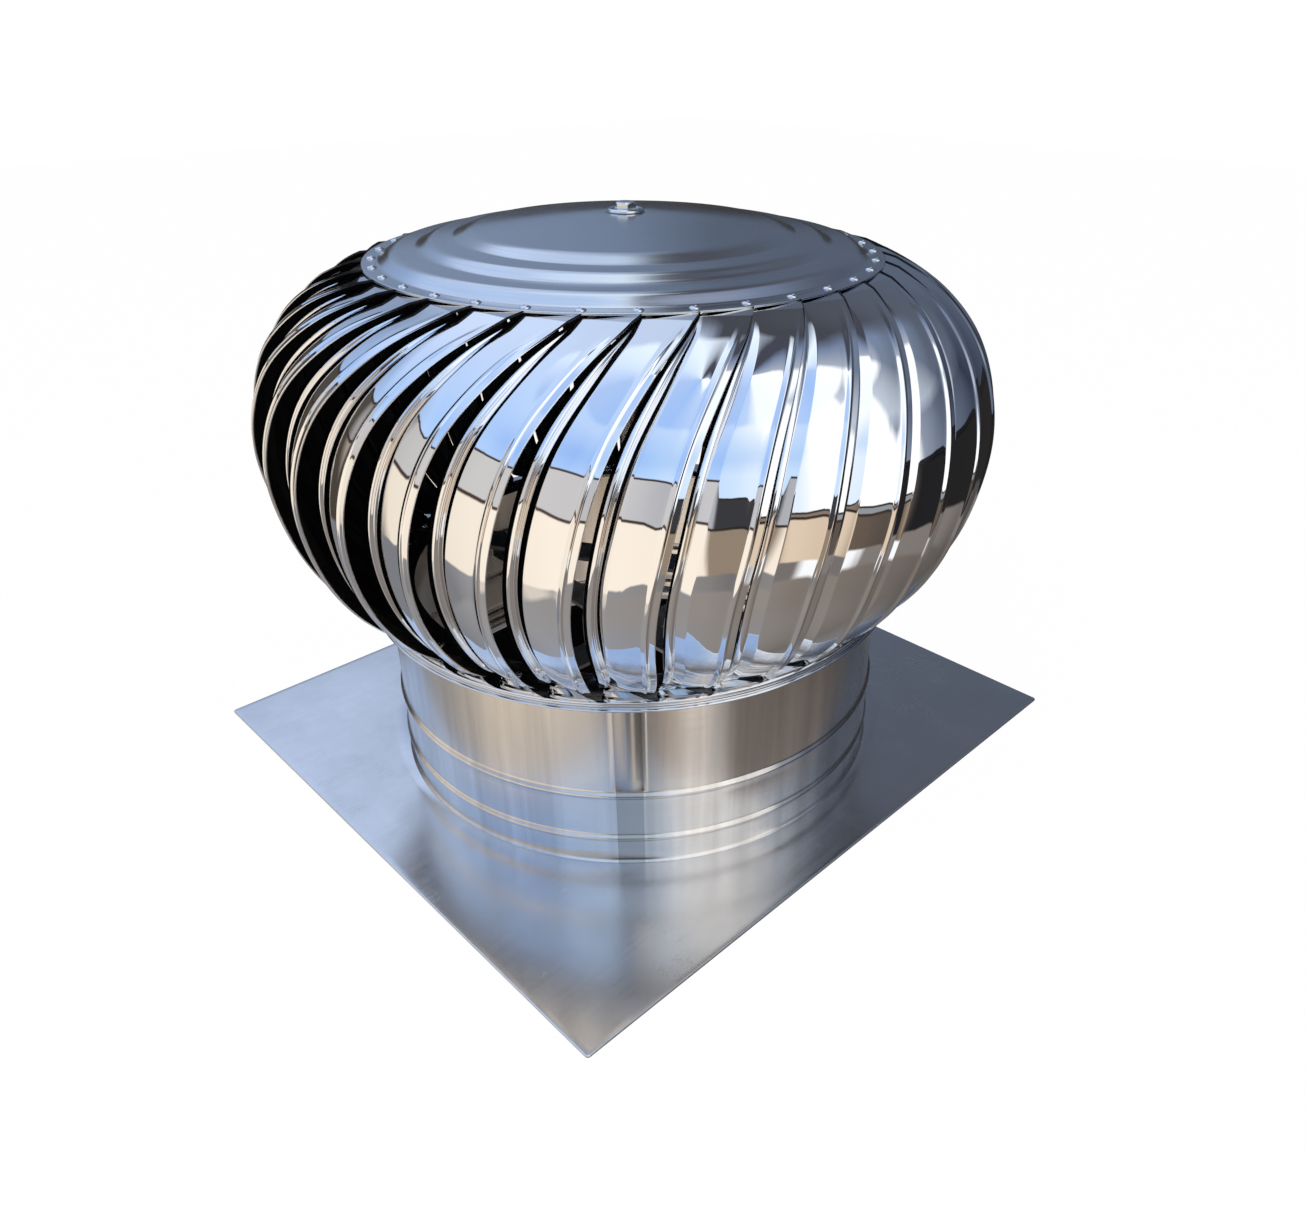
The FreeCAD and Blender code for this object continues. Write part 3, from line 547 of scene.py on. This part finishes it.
def blade_rows(count):
    """Outer line of a blade: a spline between its two folds and straight tabs beyond them.

    Rows crowd in the last two millimetres beside each fold.
    """
    ends_at = np.zeros((len(STATIONS), 2))
    ends_at[:FIRST_FOLD, 0] = 1.0
    ends_at[LAST_FOLD + 1:, 1] = 1.0
    stations = np.hstack((STATIONS, ends_at))
    core = stations[FIRST_FOLD:LAST_FOLD + 1]
    t = np.concatenate(([0.0], np.cumsum(np.hypot(*np.diff(core[:, :2], axis=0).T))))
    last = t[-1]
    at = np.concatenate(([0.0, 0.6], np.linspace(2.0, last - 1.5, count - TAB_ROWS), [last - 0.5, last]))
    middle = natural_spline(t, core, at)
    rows = np.concatenate((tab_rows(stations, LOW_TAB), middle, tab_rows(stations, TOP_TAB)))
    rows[:, 3:] = np.clip(rows[:, 3:], 0.0, 1.0)
    return rows


def tab_rows(stations, legs):
    """Rows at shares of the straight legs between two stations."""
    parts = []
    for first, second, shares in legs:
        s = np.array(shares)[:, None]
        parts.append(stations[first] * (1 - s) + stations[second] * s)
    return np.concatenate(parts)


def blade_section(rows, crease, crown):
    """Face line of the section at each row, as distance back and depth under the tilted line.

    The pressed line has a rolled free edge, a margin, a raised rib, a wide panel, a channel
    floor, a steep channel wall and a ledge. It is blended by the form share with the straight
    tab line, and its depth is multiplied by the depth share and the form share.
    """
    pitch = 2 * math.pi * rows[:, 0] / COUNT
    one = np.ones_like(pitch)
    panel_w = pitch - LAP - LAP_GROWTH * np.clip((pitch - LAP_FROM) / LAP_OVER, 0.0, 1.0)
    panel_d = (PANEL_D - MARGIN_W * SLOPE) * one
    floor_w, floor_d = panel_w + CHANNEL_W, panel_d + CHANNEL_D - CHANNEL_W * SLOPE
    ledge_w, ledge_d = floor_w + WALL_W, floor_d - WALL_D - WALL_W * SLOPE
    w = [back * one for back in EDGE_W + RIB_W + (PANEL_W,)]
    d = [deep * one for deep in EDGE_D]
    d += [(deep - back * SLOPE) * one for back, deep in zip(RIB_W, RIB_D)] + [panel_d]
    for share in CROWN_SHARES:
        w.append(PANEL_W + share * (panel_w - PANEL_W))
        d.append(panel_d - crown * math.sin(math.pi * share))
    w += [panel_w, floor_w, ledge_w, ledge_w + LEDGE_W]
    d += [panel_d, floor_d, ledge_d, ledge_d + LEDGE_D - LEDGE_W * SLOPE]
    low = np.clip(rows[:, 6:7], 0, 1)
    high = np.clip(rows[:, 7:8], 0, 1)
    tab_w = pitch[:, None] * (low * RING_TAB + high * ROOF_TAB + (1 - low - high) * FOLD_TAB)
    form, depth = rows[:, 4:5], rows[:, 3:4]
    line = np.stack((form * np.stack(w, -1) + (1 - form) * tab_w, depth * form * np.stack(d, -1)), -1)
    return rounded(line, np.array(EDGE_BENDS + (crease * 0.5, crease, crease)), 4)


def thickened(line, thickness):
    """Closed section: the face line and its copy moved sideways into the sheet, back to front."""
    step = np.gradient(line, axis=-2)
    normal = np.stack((-step[..., 1], step[..., 0]), -1)
    normal /= np.maximum(np.linalg.norm(normal, axis=-1, keepdims=True), 1e-9)
    back = line + normal * thickness
    return np.concatenate((line, back[..., ::-1, :]), -2)


def blade_points(rows, section, angle):
    """Each section point goes back along the tangent and in along the surface's inner normal."""
    r, z, swirl = rows.T[:3]
    lean = rows[:, 5]
    run = np.stack((np.gradient(r), np.gradient(z)), -1)
    run /= np.linalg.norm(run, axis=-1, keepdims=True)
    a = np.radians(PHASE + swirl + angle)
    zero = np.zeros_like(a)
    out = np.stack((np.cos(a), np.sin(a), zero), -1)
    along = np.stack((-np.sin(a), np.cos(a), zero), -1)
    up = np.array((0.0, 0.0, 1.0))
    inward = out * -run[:, 1:] + up * run[:, :1]
    back = along + out * (lean * SLOPE)[:, None]
    corner = out * r[:, None] + up * z[:, None]
    return (corner[:, None] - back[:, None] * section[..., :1] + inward[:, None] * section[..., 1:]) * MM


class VENT_OT_blades(bpy.types.Operator):
    """Builds the thirty-four formed blades with their pressed ribs, channels and tabs"""

    bl_idname = "vent.blades"
    bl_label = "Blades"

    def execute(self, context):
        s = context.scene.vent_blades
        outer = polished_finish(context.scene.vent_finish)
        # The blades' inner side takes a nearly black colour, which is painted shade
        inner = inner_shade_finish(context.scene.vent_finish)
        rows = blade_rows(s.rows)
        face = blade_section(rows, s.crease / MM, s.crown / MM)
        rng = np.random.default_rng(s.seed)
        u = np.linspace(0.0, 1.0, len(rows))[:, None]
        v = np.linspace(0.0, 1.0, face.shape[1])[None, :]
        # Waves are sums of sines of the places along and across the sheet, let in over the panel
        # by half a sine and by the depth share
        hold = np.sin(math.pi * np.clip((v - WAVE_FROM) / WAVE_OVER, 0, 1)) * rows[:, 3:4]
        half = face.shape[1]
        slots = np.where(np.arange(2 * half) < half, 0, 1)
        for k in range(COUNT):
            phases = rng.uniform(0, 2 * math.pi, len(WAVES))
            sizes = rng.uniform(0.5, 1.0, len(WAVES))
            wave = sum(share * size * np.sin(along * u + across * v + phase)
                       for (share, along, across), size, phase in zip(WAVES, sizes, phases))
            line = face.copy()
            line[..., 1] += hold * wave * s.ripple / MM
            section = thickened(line, s.sheet / MM)
            turn = k * PITCH + rng.uniform(-TURN_SPREAD, TURN_SPREAD)
            name = "blade_%02d" % (k + 1)
            points = blade_points(rows, section, turn)
            obj = surface(name + "_sheet", points, caps=True, slots=slots, materials=(outer, inner))
            ride_as(obj, "rotor", name)
        return {"FINISHED"}


class VENT_OT_cap(bpy.types.Operator):
    """Builds the stepped cap pressing and its rivets"""

    bl_idname = "vent.cap"
    bl_label = "Cap"

    def execute(self, context):
        finishes = context.scene.vent_finish
        satin = satin_round_finish("satin cap", finishes.spun, 0.15, 0.03)
        # Rounded line of the top face from the rim to the bolt, and back a sheet lower
        top = rounded(np.array(CAP_TOP), CAP_BENDS, 5)
        under = top - np.array((0.0, CAP_SHEET))
        profile = np.concatenate((top, under[::-1]))
        points = spin(profile, np.arange(0, 360, FINE_STEP))
        cap = surface("cap_sheet", points, closed_rows=True, materials=(satin,))
        ride_as(cap, "rotor", "cap")
        rim = rounded(np.array(WASHER), 0.35, 3)
        washer = surface("cap_washer_dish", spin(rim, np.arange(0, 360, 5.0)), closed_rows=True,
                         materials=(rivet_finish(finishes),))
        ride_as(washer, "rotor", "cap_washer")
        for name, radius, swirl, seat in RIVET_RINGS:
            obj = rivets(name + "_heads", radius, swirl, seat, rivet_finish(finishes))
            ride_as(obj, "rotor", name)
        return {"FINISHED"}


def rivet_finish(settings):
    """Bright plated rivets with a few duller spots."""
    return worked_finish("rivet", settings.polished, 0.14, 0.05, 80.0)


def rivets(name, radius, swirl, seat, material):
    """One domed head with a dimple per blade: a small profile turned at each place."""
    profile = rounded(np.array(RIVET), 0.4, 2)
    a = np.radians(np.arange(0, 360, 22.5))[:, None]
    r, z = profile.T
    head = np.stack((r * np.cos(a), r * np.sin(a), z + 0 * a), -1)
    places = np.radians(PHASE + swirl + PITCH * np.arange(COUNT))
    centres = np.stack((radius * np.cos(places), radius * np.sin(places), seat + 0 * places), -1)
    points = (head[None] + centres[:, None, None]) * MM
    objs = [surface(name + "_%d" % k, part, closed_rows=True, closed_cols=False, materials=(material,))
            for k, part in enumerate(points)]
    with bpy.context.temp_override(active_object=objs[0], selected_editable_objects=objs):
        bpy.ops.object.join()
    objs[0].name = name
    return objs[0]


def bead(centre):
    """Swaged bead on the neck as a raised cosine."""
    return [(NECK_R + BEAD_HEIGHT * 0.5 * (1 + math.cos(math.pi * k)), centre + BEAD_HALF * k)
            for k in np.linspace(-1, 1, 15)]


class VENT_OT_neck(bpy.types.Operator):
    """Builds the neck with its beads, seam and rolled edge, and the rotor's bottom ring"""

    bl_idname = "vent.neck"
    bl_label = "Neck and ring"

    def execute(self, context):
        finishes = context.scene.vent_finish
        seam = (SEAM - SEAM_HALF, SEAM + SEAM_HALF)
        satin = satin_round_finish("satin neck", finishes.satin, 0.2, 0.015, seam)
        # Outer line from the foot to the rolled edge, and back a sheet further in
        outer = [(NECK_R + step, z) for step, z in NECK_FOOT] + bead(LOWER_BEAD)
        outer += [(NECK_R, z) for z in NECK_LOWER] + bead(UPPER_BEAD)
        outer += [(NECK_R, z) for z in NECK_UPPER] + [(NECK_R + step, z) for step, z in NECK_ROLL]
        outer = np.array(outer)
        inner = outer - np.array((NECK_SHEET, 0.0))
        inner[:, 0] = np.minimum(inner[:, 0], NECK_R + NECK_INNER_STEP)
        profile = np.concatenate((outer, inner[::-1]))
        # Columns beside the seam make its two steps, and those on it are pushed outward
        strip = (-SEAM_HALF - SEAM_STEP, -SEAM_HALF, SEAM_HALF, SEAM_HALF + SEAM_STEP)
        gap = SEAM_HALF + SEAM_GAP
        angles = SEAM + np.concatenate((strip, np.linspace(gap, 360 - gap, 240)))
        points = spin(profile, angles)
        on_seam = np.zeros(len(angles))
        on_seam[1:3] = 1.0
        outside = np.arange(len(profile)) < len(outer)
        lift = (profile[:, 1] > SEAM_LOW) & (profile[:, 1] < SEAM_TOP) & outside
        radial = points[..., :2] / np.linalg.norm(points[..., :2], axis=-1, keepdims=True)
        points[..., :2] += radial * (on_seam[:, None] * lift[None] * SEAM_LIFT * MM)[..., None]
        neck = surface("neck_sheet", points, closed_rows=True, materials=(satin,))
        ride_as(neck, "base", "neck")

        bright = satin_round_finish("ring sheet", finishes.spun, 0.08, 0.02)
        ring = rounded(np.array(RING_OUTLINE), 0.5, 3)
        points = spin(ring, np.arange(0, 360, FINE_STEP))
        obj = surface("ring_sheet", points, closed_rows=True, materials=(bright,))
        ride_as(obj, "rotor", "bottom_ring")
        return {"FINISHED"}


def outline(inset):
    """The flashing's rounded rectangle drawn in from its edge, with points crowded in the corners."""
    hx, hy = PLATE_X - inset, PLATE_Y - inset
    r = max(PLATE_CORNER - inset, 0.2)
    quarter = np.radians(np.linspace(0, 90, 10))
    corner = np.stack((hx - r + r * np.cos(quarter), hy - r + r * np.sin(quarter)), -1)
    side = np.linspace(0, 1, 60)[1:-1, None]
    loop = []
    for sx, sy, flip in ((1, 1, False), (-1, 1, True), (-1, -1, False), (1, -1, True)):
        part = corner * np.array((sx, sy))
        loop.append(part[::-1] if flip else part)
    whole = []
    for k in range(4):
        a, b = loop[k], loop[(k + 1) % 4]
        whole += [a, a[-1] * (1 - side) + b[0] * side]
    return np.concatenate(whole)


class VENT_OT_flashing(bpy.types.Operator):
    """Builds the flat roof flashing with its folded edge and collar"""

    bl_idname = "vent.flashing"
    bl_label = "Flashing"

    def execute(self, context):
        satin = satin_flat_finish(context.scene.vent_finish)
        edge = outline(0.0)
        a = np.arctan2(edge[:, 1], edge[:, 0])
        unit = np.stack((np.cos(a), np.sin(a)), -1)
        inner = outline(PLATE_HEM)

        def level(loop, z):
            return np.column_stack((loop, np.full(len(a), z)))

        def between(share, z):
            """Mix of the throat's circle and the hem's inner edge at the same angles."""
            return level(unit * THROAT_R * (1 - share) + inner * share, z)

        # Loops of one sheet: up and down the collar, out over the top, round the folded hem and
        # back in under the sheet
        rows = [level(unit * r, z) for r, z in COLLAR]
        rows += [between(share, PLATE_TOP) for share in (0.15, 0.35, 0.6, 0.85, 1.0)]
        rows += [level(outline(inset), z) for inset, z in FLASHING_EDGE]
        rows += [between(share, PLATE_LOW) for share in (0.7, 0.4, 0.15, 0.0)]
        rows.append(level(unit * COLLAR_BEND[0], COLLAR_BEND[1]))
        points = np.stack(rows) * MM
        obj = surface("flashing_sheet", points, closed_rows=True, materials=(satin,))
        ride_as(obj, "base", "base_flashing")
        return {"FINISHED"}


class VENT_OT_inside(bpy.types.Operator):
    """Gives the bars, spindle, bearings and fasteners their finish"""

    bl_idname = "vent.inside"
    bl_label = "Inside and fasteners"

    def execute(self, context):
        finishes = context.scene.vent_finish
        plain = worked_finish("plain steel", finishes.plain, 0.42, 0.08, 45.0)
        bright = worked_finish("bright steel", finishes.polished, 0.16, 0.05, 70.0)
        brass = worked_finish("cage brass", finishes.brass, 0.3, 0.06, 60.0)
        groups = {
            plain: ("support_bar_lower", "support_bar_upper", "rotor_crossbar", "upper_housing",
                    "shaft_nuts", "shaft_washers", "crossbar_bolts", "housing_circlips",
                    "shaft_circlips"),
            bright: ("shaft", "cap_bolt", "cap_washer", "lower_inner_race", "upper_inner_race",
                     "lower_outer_race", "upper_outer_race", "lower_balls", "upper_balls"),
            brass: ("lower_cage", "upper_cage"),
        }
        for material, names in groups.items():
            for name in names:
                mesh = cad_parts[name].data
                mesh.materials.clear()
                mesh.materials.append(material)
        return {"FINISHED"}


# Surroundings that the polished sheet shows: heights in degrees of the roofline, the eaves
# and the foot of the walls, and the colour of each band, against the azimuth in degrees,
# 0 towards the photograph's camera and growing to its right
ROOF = (
    (-180, 7), (-152, 8), (-128, 20), (-115, 24), (-90, 23.5), (-60, 25.5), (-28, 25), (-14, 24),
    (-13, 13.5), (4, 13.5), (9, 0), (27, -0.5), (33, -6), (52, -8), (58, 5), (72, 5), (110, 5), (180, 7),
)
EAVES = (
    (-180, 3), (-90, 3.5), (-60, 3), (-28, 0.5), (-14, -5), (4, -5), (9, -4), (27, -5), (33, -12),
    (52, -13), (58, 2), (110, 2), (180, 3),
)
FOOT = (
    (-180, -20), (-110, -22), (-80, -33), (-60, -37), (-46, -37), (-36, -34), (-20, -32), (-3, -30),
    (9, -30), (30, -31), (52, -31), (72, -29), (110, -26), (180, -20),
)
SKY = (
    (-180, (0.36, 0.44, 0.60)), (-160, (0.74, 0.87, 1.14)), (-137, (0.62, 0.78, 1.10)),
    (-100, (0.50, 0.72, 1.12)), (-54, (0.38, 0.59, 1.06)), (-30, (0.48, 0.72, 1.10)),
    (-3, (0.60, 0.80, 1.10)), (13, (0.74, 0.90, 1.12)), (20, (1.25, 1.25, 1.25)), (58, (1.25, 1.25, 1.25)),
    (63, (0.62, 0.68, 0.78)), (80, (0.44, 0.49, 0.57)), (100, (0.13, 0.16, 0.22)),
    (158, (0.10, 0.115, 0.15)), (172, (0.12, 0.14, 0.19)), (180, (0.36, 0.44, 0.60)),
)
LOW_SKY = (
    (-180, (0.19, 0.25, 0.36)), (-170, (0.23, 0.30, 0.43)), (-160, (0.26, 0.33, 0.46)),
    (-140, (0.36, 0.50, 0.78)), (-100, (0.54, 0.76, 1.12)), (-54, (0.46, 0.68, 1.12)),
    (-30, (0.58, 0.80, 1.14)), (-3, (0.76, 0.94, 1.15)), (13, (0.95, 1.05, 1.18)), (20, (1.25, 1.25, 1.25)),
    (58, (1.25, 1.25, 1.25)), (62, (0.32, 0.37, 0.46)), (80, (0.14, 0.17, 0.24)), (105, (0.04, 0.05, 0.08)),
    (150, (0.11, 0.14, 0.20)), (173, (0.11, 0.14, 0.20)), (180, (0.19, 0.25, 0.36)),
)
HAZE = (
    (-180, (0.62, 0.74, 0.96)), (-140, (0.66, 0.82, 1.12)), (-100, (0.60, 0.80, 1.14)),
    (-54, (0.58, 0.77, 1.12)), (-20, (0.62, 0.82, 1.12)), (10, (1.0, 1.1, 1.2)), (22, (1.25, 1.25, 1.25)),
    (58, (1.25, 1.25, 1.25)), (63, (0.66, 0.72, 0.82)), (80, (0.48, 0.53, 0.62)), (100, (0.22, 0.27, 0.36)),
    (126, (0.22, 0.28, 0.42)), (144, (0.07, 0.075, 0.09)), (172, (0.07, 0.075, 0.09)),
    (180, (0.62, 0.74, 0.96)),
)
OVERHEAD = (
    (-180, (1.00, 1.12, 1.25)), (-140, (0.80, 0.96, 1.22)), (-100, (0.50, 0.68, 1.05)),
    (-40, (0.42, 0.64, 1.08)), (0, (0.60, 0.78, 1.10)), (14, (1.1, 1.17, 1.25)), (94, (1.2, 1.22, 1.25)),
    (100, (0.45, 0.50, 0.60)), (126, (0.22, 0.28, 0.42)), (142, (0.07, 0.075, 0.10)),
    (158, (0.07, 0.075, 0.10)), (168, (0.55, 0.62, 0.72)), (174, (0.85, 0.95, 1.08)),
    (180, (1.00, 1.12, 1.25)),
)
PALE = (
    (-180, (0.05, 0.05, 0.05)), (-118, (0.09, 0.08, 0.07)), (-108, (0.62, 0.60, 0.58)),
    (-78, (0.72, 0.69, 0.67)), (-40, (0.68, 0.66, 0.66)), (-14, (0.50, 0.50, 0.53)),
    (-13, (0.05, 0.05, 0.055)), (4, (0.05, 0.05, 0.055)), (9, (0.30, 0.22, 0.17)), (27, (0.30, 0.22, 0.17)),
    (33, (0.34, 0.36, 0.38)), (57, (0.34, 0.36, 0.38)), (58, (0.02, 0.03, 0.08)),
    (90, (0.015, 0.018, 0.03)), (180, (0.05, 0.05, 0.05)),
)
CREAM = (
    (-180, (0.04, 0.034, 0.03)), (-118, (0.08, 0.065, 0.05)), (-106, (1.00, 0.88, 0.72)),
    (-54, (1.16, 1.02, 0.86)), (-17, (1.12, 0.98, 0.82)), (-14, (0.34, 0.26, 0.19)),
    (4, (0.34, 0.26, 0.19)), (9, (0.88, 0.70, 0.52)), (28, (0.80, 0.62, 0.46)), (32, (0.16, 0.12, 0.09)),
    (56, (0.10, 0.08, 0.07)), (60, (0.018, 0.018, 0.02)), (100, (0.022, 0.02, 0.02)),
    (180, (0.04, 0.034, 0.03)),
)
LINE = (
    (-180, (0.03, 0.03, 0.03)), (-54, (0.09, 0.06, 0.05)), (0, (0.03, 0.025, 0.02)),
    (46, (0.06, 0.045, 0.035)), (68, (0.01, 0.01, 0.01)), (180, (0.03, 0.03, 0.03)),
)
YARD = (
    (-180, (0.24, 0.25, 0.28)), (-130, (0.22, 0.23, 0.25)), (-100, (0.24, 0.24, 0.25)),
    (-84, (0.36, 0.35, 0.35)), (-76, (0.80, 0.71, 0.61)), (-64, (0.80, 0.71, 0.61)),
    (-56, (0.34, 0.33, 0.33)), (-22, (0.30, 0.28, 0.27)), (0, (0.20, 0.19, 0.185)),
    (15, (0.22, 0.19, 0.175)), (22, (1.15, 1.14, 1.13)), (35, (1.15, 1.14, 1.13)), (43, (0.26, 0.23, 0.21)),
    (90, (0.24, 0.21, 0.19)), (125, (0.08, 0.075, 0.075)), (180, (0.24, 0.25, 0.28)),
)
FLOOR = (
    (-180, (0.24, 0.25, 0.28)), (-130, (0.22, 0.23, 0.25)), (-90, (0.36, 0.35, 0.35)),
    (-15, (0.33, 0.29, 0.26)), (24, (0.25, 0.21, 0.18)), (70, (0.19, 0.16, 0.14)),
    (120, (0.12, 0.11, 0.10)), (180, (0.24, 0.25, 0.28)),
)
DEEP = (
    (-180, (0.28, 0.30, 0.36)), (-90, (0.34, 0.35, 0.39)), (0, (0.30, 0.27, 0.245)),
    (90, (0.19, 0.165, 0.15)), (180, (0.28, 0.30, 0.36)),
)


class VENT_OT_stage(bpy.types.Operator):
    """Sets the pale floor, the soft lamps, the surroundings and the camera"""

    bl_idname = "vent.stage"
    bl_label = "Stage"

    def execute(self, context):
        s = context.scene.vent_stage
        scene = context.scene
        half = s.floor / 2
        mesh = bpy.data.meshes.new("floor")
        corners = [(x * half, y * half, FLOOR_Z) for x, y in ((-1, -1), (1, -1), (1, 1), (-1, 1))]
        mesh.from_pydata(corners, [], [(0, 1, 2, 3)])
        floor = bpy.data.objects.new("floor", mesh)
        scene.collection.objects.link(floor)
        made = bpy.data.materials.new("floor")
        made.use_nodes = True
        tree = Tree(made.node_tree)
        seen = tree.node("ShaderNodeLightPath", output="Is Camera Ray")
        # Painted shade: inside the throat the floor is painted nearly black and loses its white glow
        radius = polar_place(tree)[1]
        outside = tree.node("ShaderNodeMapRange", {}, {"Value": radius, 1: THROAT_SHADE_R, 2: THROAT_SHADE_EDGE})
        paint = tree.mix(outside, THROAT_SHADE_COLOUR, FLOOR_COLOUR)
        diffuse = tree.node("ShaderNodeBsdfDiffuse", {}, {"Color": paint})
        white = tree.node("ShaderNodeEmission", {}, {"Color": (1, 1, 1, 1), "Strength": 1.0})
        both = tree.node("ShaderNodeMixShader", {}, {0: seen * outside * FLOOR_GLOW, 1: diffuse, 2: white})
        tree.node("ShaderNodeOutputMaterial", {}, {"Surface": both})
        mesh.materials.append(made)
        floor.visible_glossy = False
        self.world(scene)
        self.lamps(scene)
        data = bpy.data.cameras.new("camera")
        data.lens = s.lens
        data.sensor_width = SENSOR_WIDTH
        data.shift_x = SHIFT_X
        data.shift_y = SHIFT_Y
        data.clip_start = 0.01
        camera = bpy.data.objects.new("camera", data)
        scene.collection.objects.link(camera)
        turn = (Matrix.Rotation(-s.heading, 4, "Z") @ Matrix.Rotation(math.pi / 2 + s.pitch, 4, "X")
                @ Matrix.Rotation(s.roll, 4, "Z"))
        camera.matrix_world = Matrix.Translation(Vector(s.camera)) @ turn
        scene.camera = camera
        scene.view_settings.view_transform = "Standard"
        return {"FINISHED"}

    def world(self, scene):
        """White to the camera; a plain yard under a blue sky, in soft bands, to glossy surfaces.

        Each layer covers what is below it in the list: it begins at its lower height in degrees
        and is whole at its upper one.
        """
        world = bpy.data.worlds.new("surroundings")
        scene.world = world
        world.use_nodes = True
        tree = Tree(world.node_tree)
        x, y, z = tree.split(tree.node("ShaderNodeTexCoord", output="Generated"))
        front = x * -math.sin(VIEW_HEADING) + y * -math.cos(VIEW_HEADING)
        right = x * math.cos(VIEW_HEADING) + y * -math.sin(VIEW_HEADING)
        turn = right.math("ARCTAN2", front) / (2 * math.pi) + 0.5
        rise = z.math("ARCSINE") * (180.0 / math.pi)
        roof = self.height(tree, turn, ROOF)
        eaves = self.height(tree, turn, EAVES)
        foot = self.height(tree, turn, FOOT)
        colour = self.band(tree, turn, DEEP)
        layers = (
            (-62.0, -50.0, FLOOR), (-41.0, -39.0, YARD), (foot - 0.6, foot + 0.6, CREAM),
            (eaves - 0.5, eaves + 0.3, LINE), (eaves + 1.2, eaves + 1.8, PALE),
            (roof - 1.4, roof - 1.0, LINE), (roof - 0.3, roof + 0.3, LOW_SKY),
            (26.0, 34.0, SKY), (38.0, 54.0, HAZE), (57.0, 60.0, OVERHEAD),
        )
        for low, high, stops in layers:
            step = tree.node("ShaderNodeMapRange", {}, {"Value": rise, 1: low, 2: high})
            colour = tree.mix(step, colour, self.band(tree, turn, stops))
        shine = tree.node("ShaderNodeBackground", {}, {"Color": colour, "Strength": 1.0})
        plain = tree.node("ShaderNodeBackground", {}, {"Color": (1.0, 1.0, 1.0, 1.0), "Strength": AMBIENT})
        white = tree.node("ShaderNodeBackground", {}, {"Color": (1.0, 1.0, 1.0, 1.0), "Strength": 1.0})
        seen = tree.node("ShaderNodeLightPath", output="Is Camera Ray")
        glossy = tree.node("ShaderNodeLightPath", output="Is Glossy Ray")
        first = tree.node("ShaderNodeMixShader", {}, {0: glossy, 1: plain, 2: shine})
        both = tree.node("ShaderNodeMixShader", {}, {0: seen, 1: first, 2: white})
        tree.node("ShaderNodeOutputWorld", {}, {"Surface": both})

    def band(self, tree, turn, stops):
        """Colours against the azimuth in degrees."""
        return tree.ramp(turn, [((a + 180.0) / 360.0, colour) for a, colour in stops])

    def height(self, tree, turn, stops):
        """Heights in degrees against the azimuth in degrees."""
        levels = [((a + 180.0) / 360.0, (rise + RISE_SHIFT) / RISE_SPAN) for a, rise in stops]
        return tree.grey(turn, levels) * RISE_SPAN - RISE_SHIFT

    def lamps(self, scene):
        """Large soft lamps: one high on the left and one low on the right."""
        for name, place, size, power in LAMPS:
            data = bpy.data.lights.new(name, "AREA")
            data.shape = "DISK"
            data.size = size
            data.energy = power
            lamp = bpy.data.objects.new(name, data)
            lamp.visible_glossy = False
            scene.collection.objects.link(lamp)
            aim = Vector(LAMP_AIM) - Vector(place)
            turn = aim.to_track_quat("-Z", "Y").to_matrix().to_4x4()
            lamp.matrix_world = Matrix.Translation(Vector(place)) @ turn


class VENT_PT_panel(bpy.types.Panel):
    """Lists the pieces and their settings"""

    bl_idname = "VENT_PT_panel"
    bl_label = "Roof turbine ventilator"
    bl_space_type = "VIEW_3D"
    bl_region_type = "UI"
    bl_category = "Ventilator"

    def draw(self, context):
        for group in SETTINGS:
            settings = getattr(context.scene, group)
            box = self.layout.box()
            for key in settings.__annotations__:
                box.prop(settings, key)
        for operator in OPERATORS:
            self.layout.operator(operator.bl_idname)


SETTINGS = {
    "vent_blades": VentBladeSettings,
    "vent_finish": VentFinishSettings,
    "vent_stage": VentStageSettings,
}
OPERATORS = (VENT_OT_flashing, VENT_OT_neck, VENT_OT_blades, VENT_OT_cap, VENT_OT_inside, VENT_OT_stage)


def register():
    for name, group in SETTINGS.items():
        bpy.utils.register_class(group)
        setattr(bpy.types.Scene, name, bpy.props.PointerProperty(type=group))
    for made in OPERATORS + (VENT_PT_panel,):
        bpy.utils.register_class(made)


def unregister():
    for made in (VENT_PT_panel,) + OPERATORS[::-1]:
        bpy.utils.unregister_class(made)
    for name, group in SETTINGS.items():
        delattr(bpy.types.Scene, name)
        bpy.utils.unregister_class(group)


def main():
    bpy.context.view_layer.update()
    register()
    bpy.ops.vent.flashing()
    bpy.ops.vent.neck()
    bpy.ops.vent.blades()
    bpy.ops.vent.cap()
    bpy.ops.vent.inside()
    bpy.ops.vent.stage()


if __name__ == "__main__":
    main()
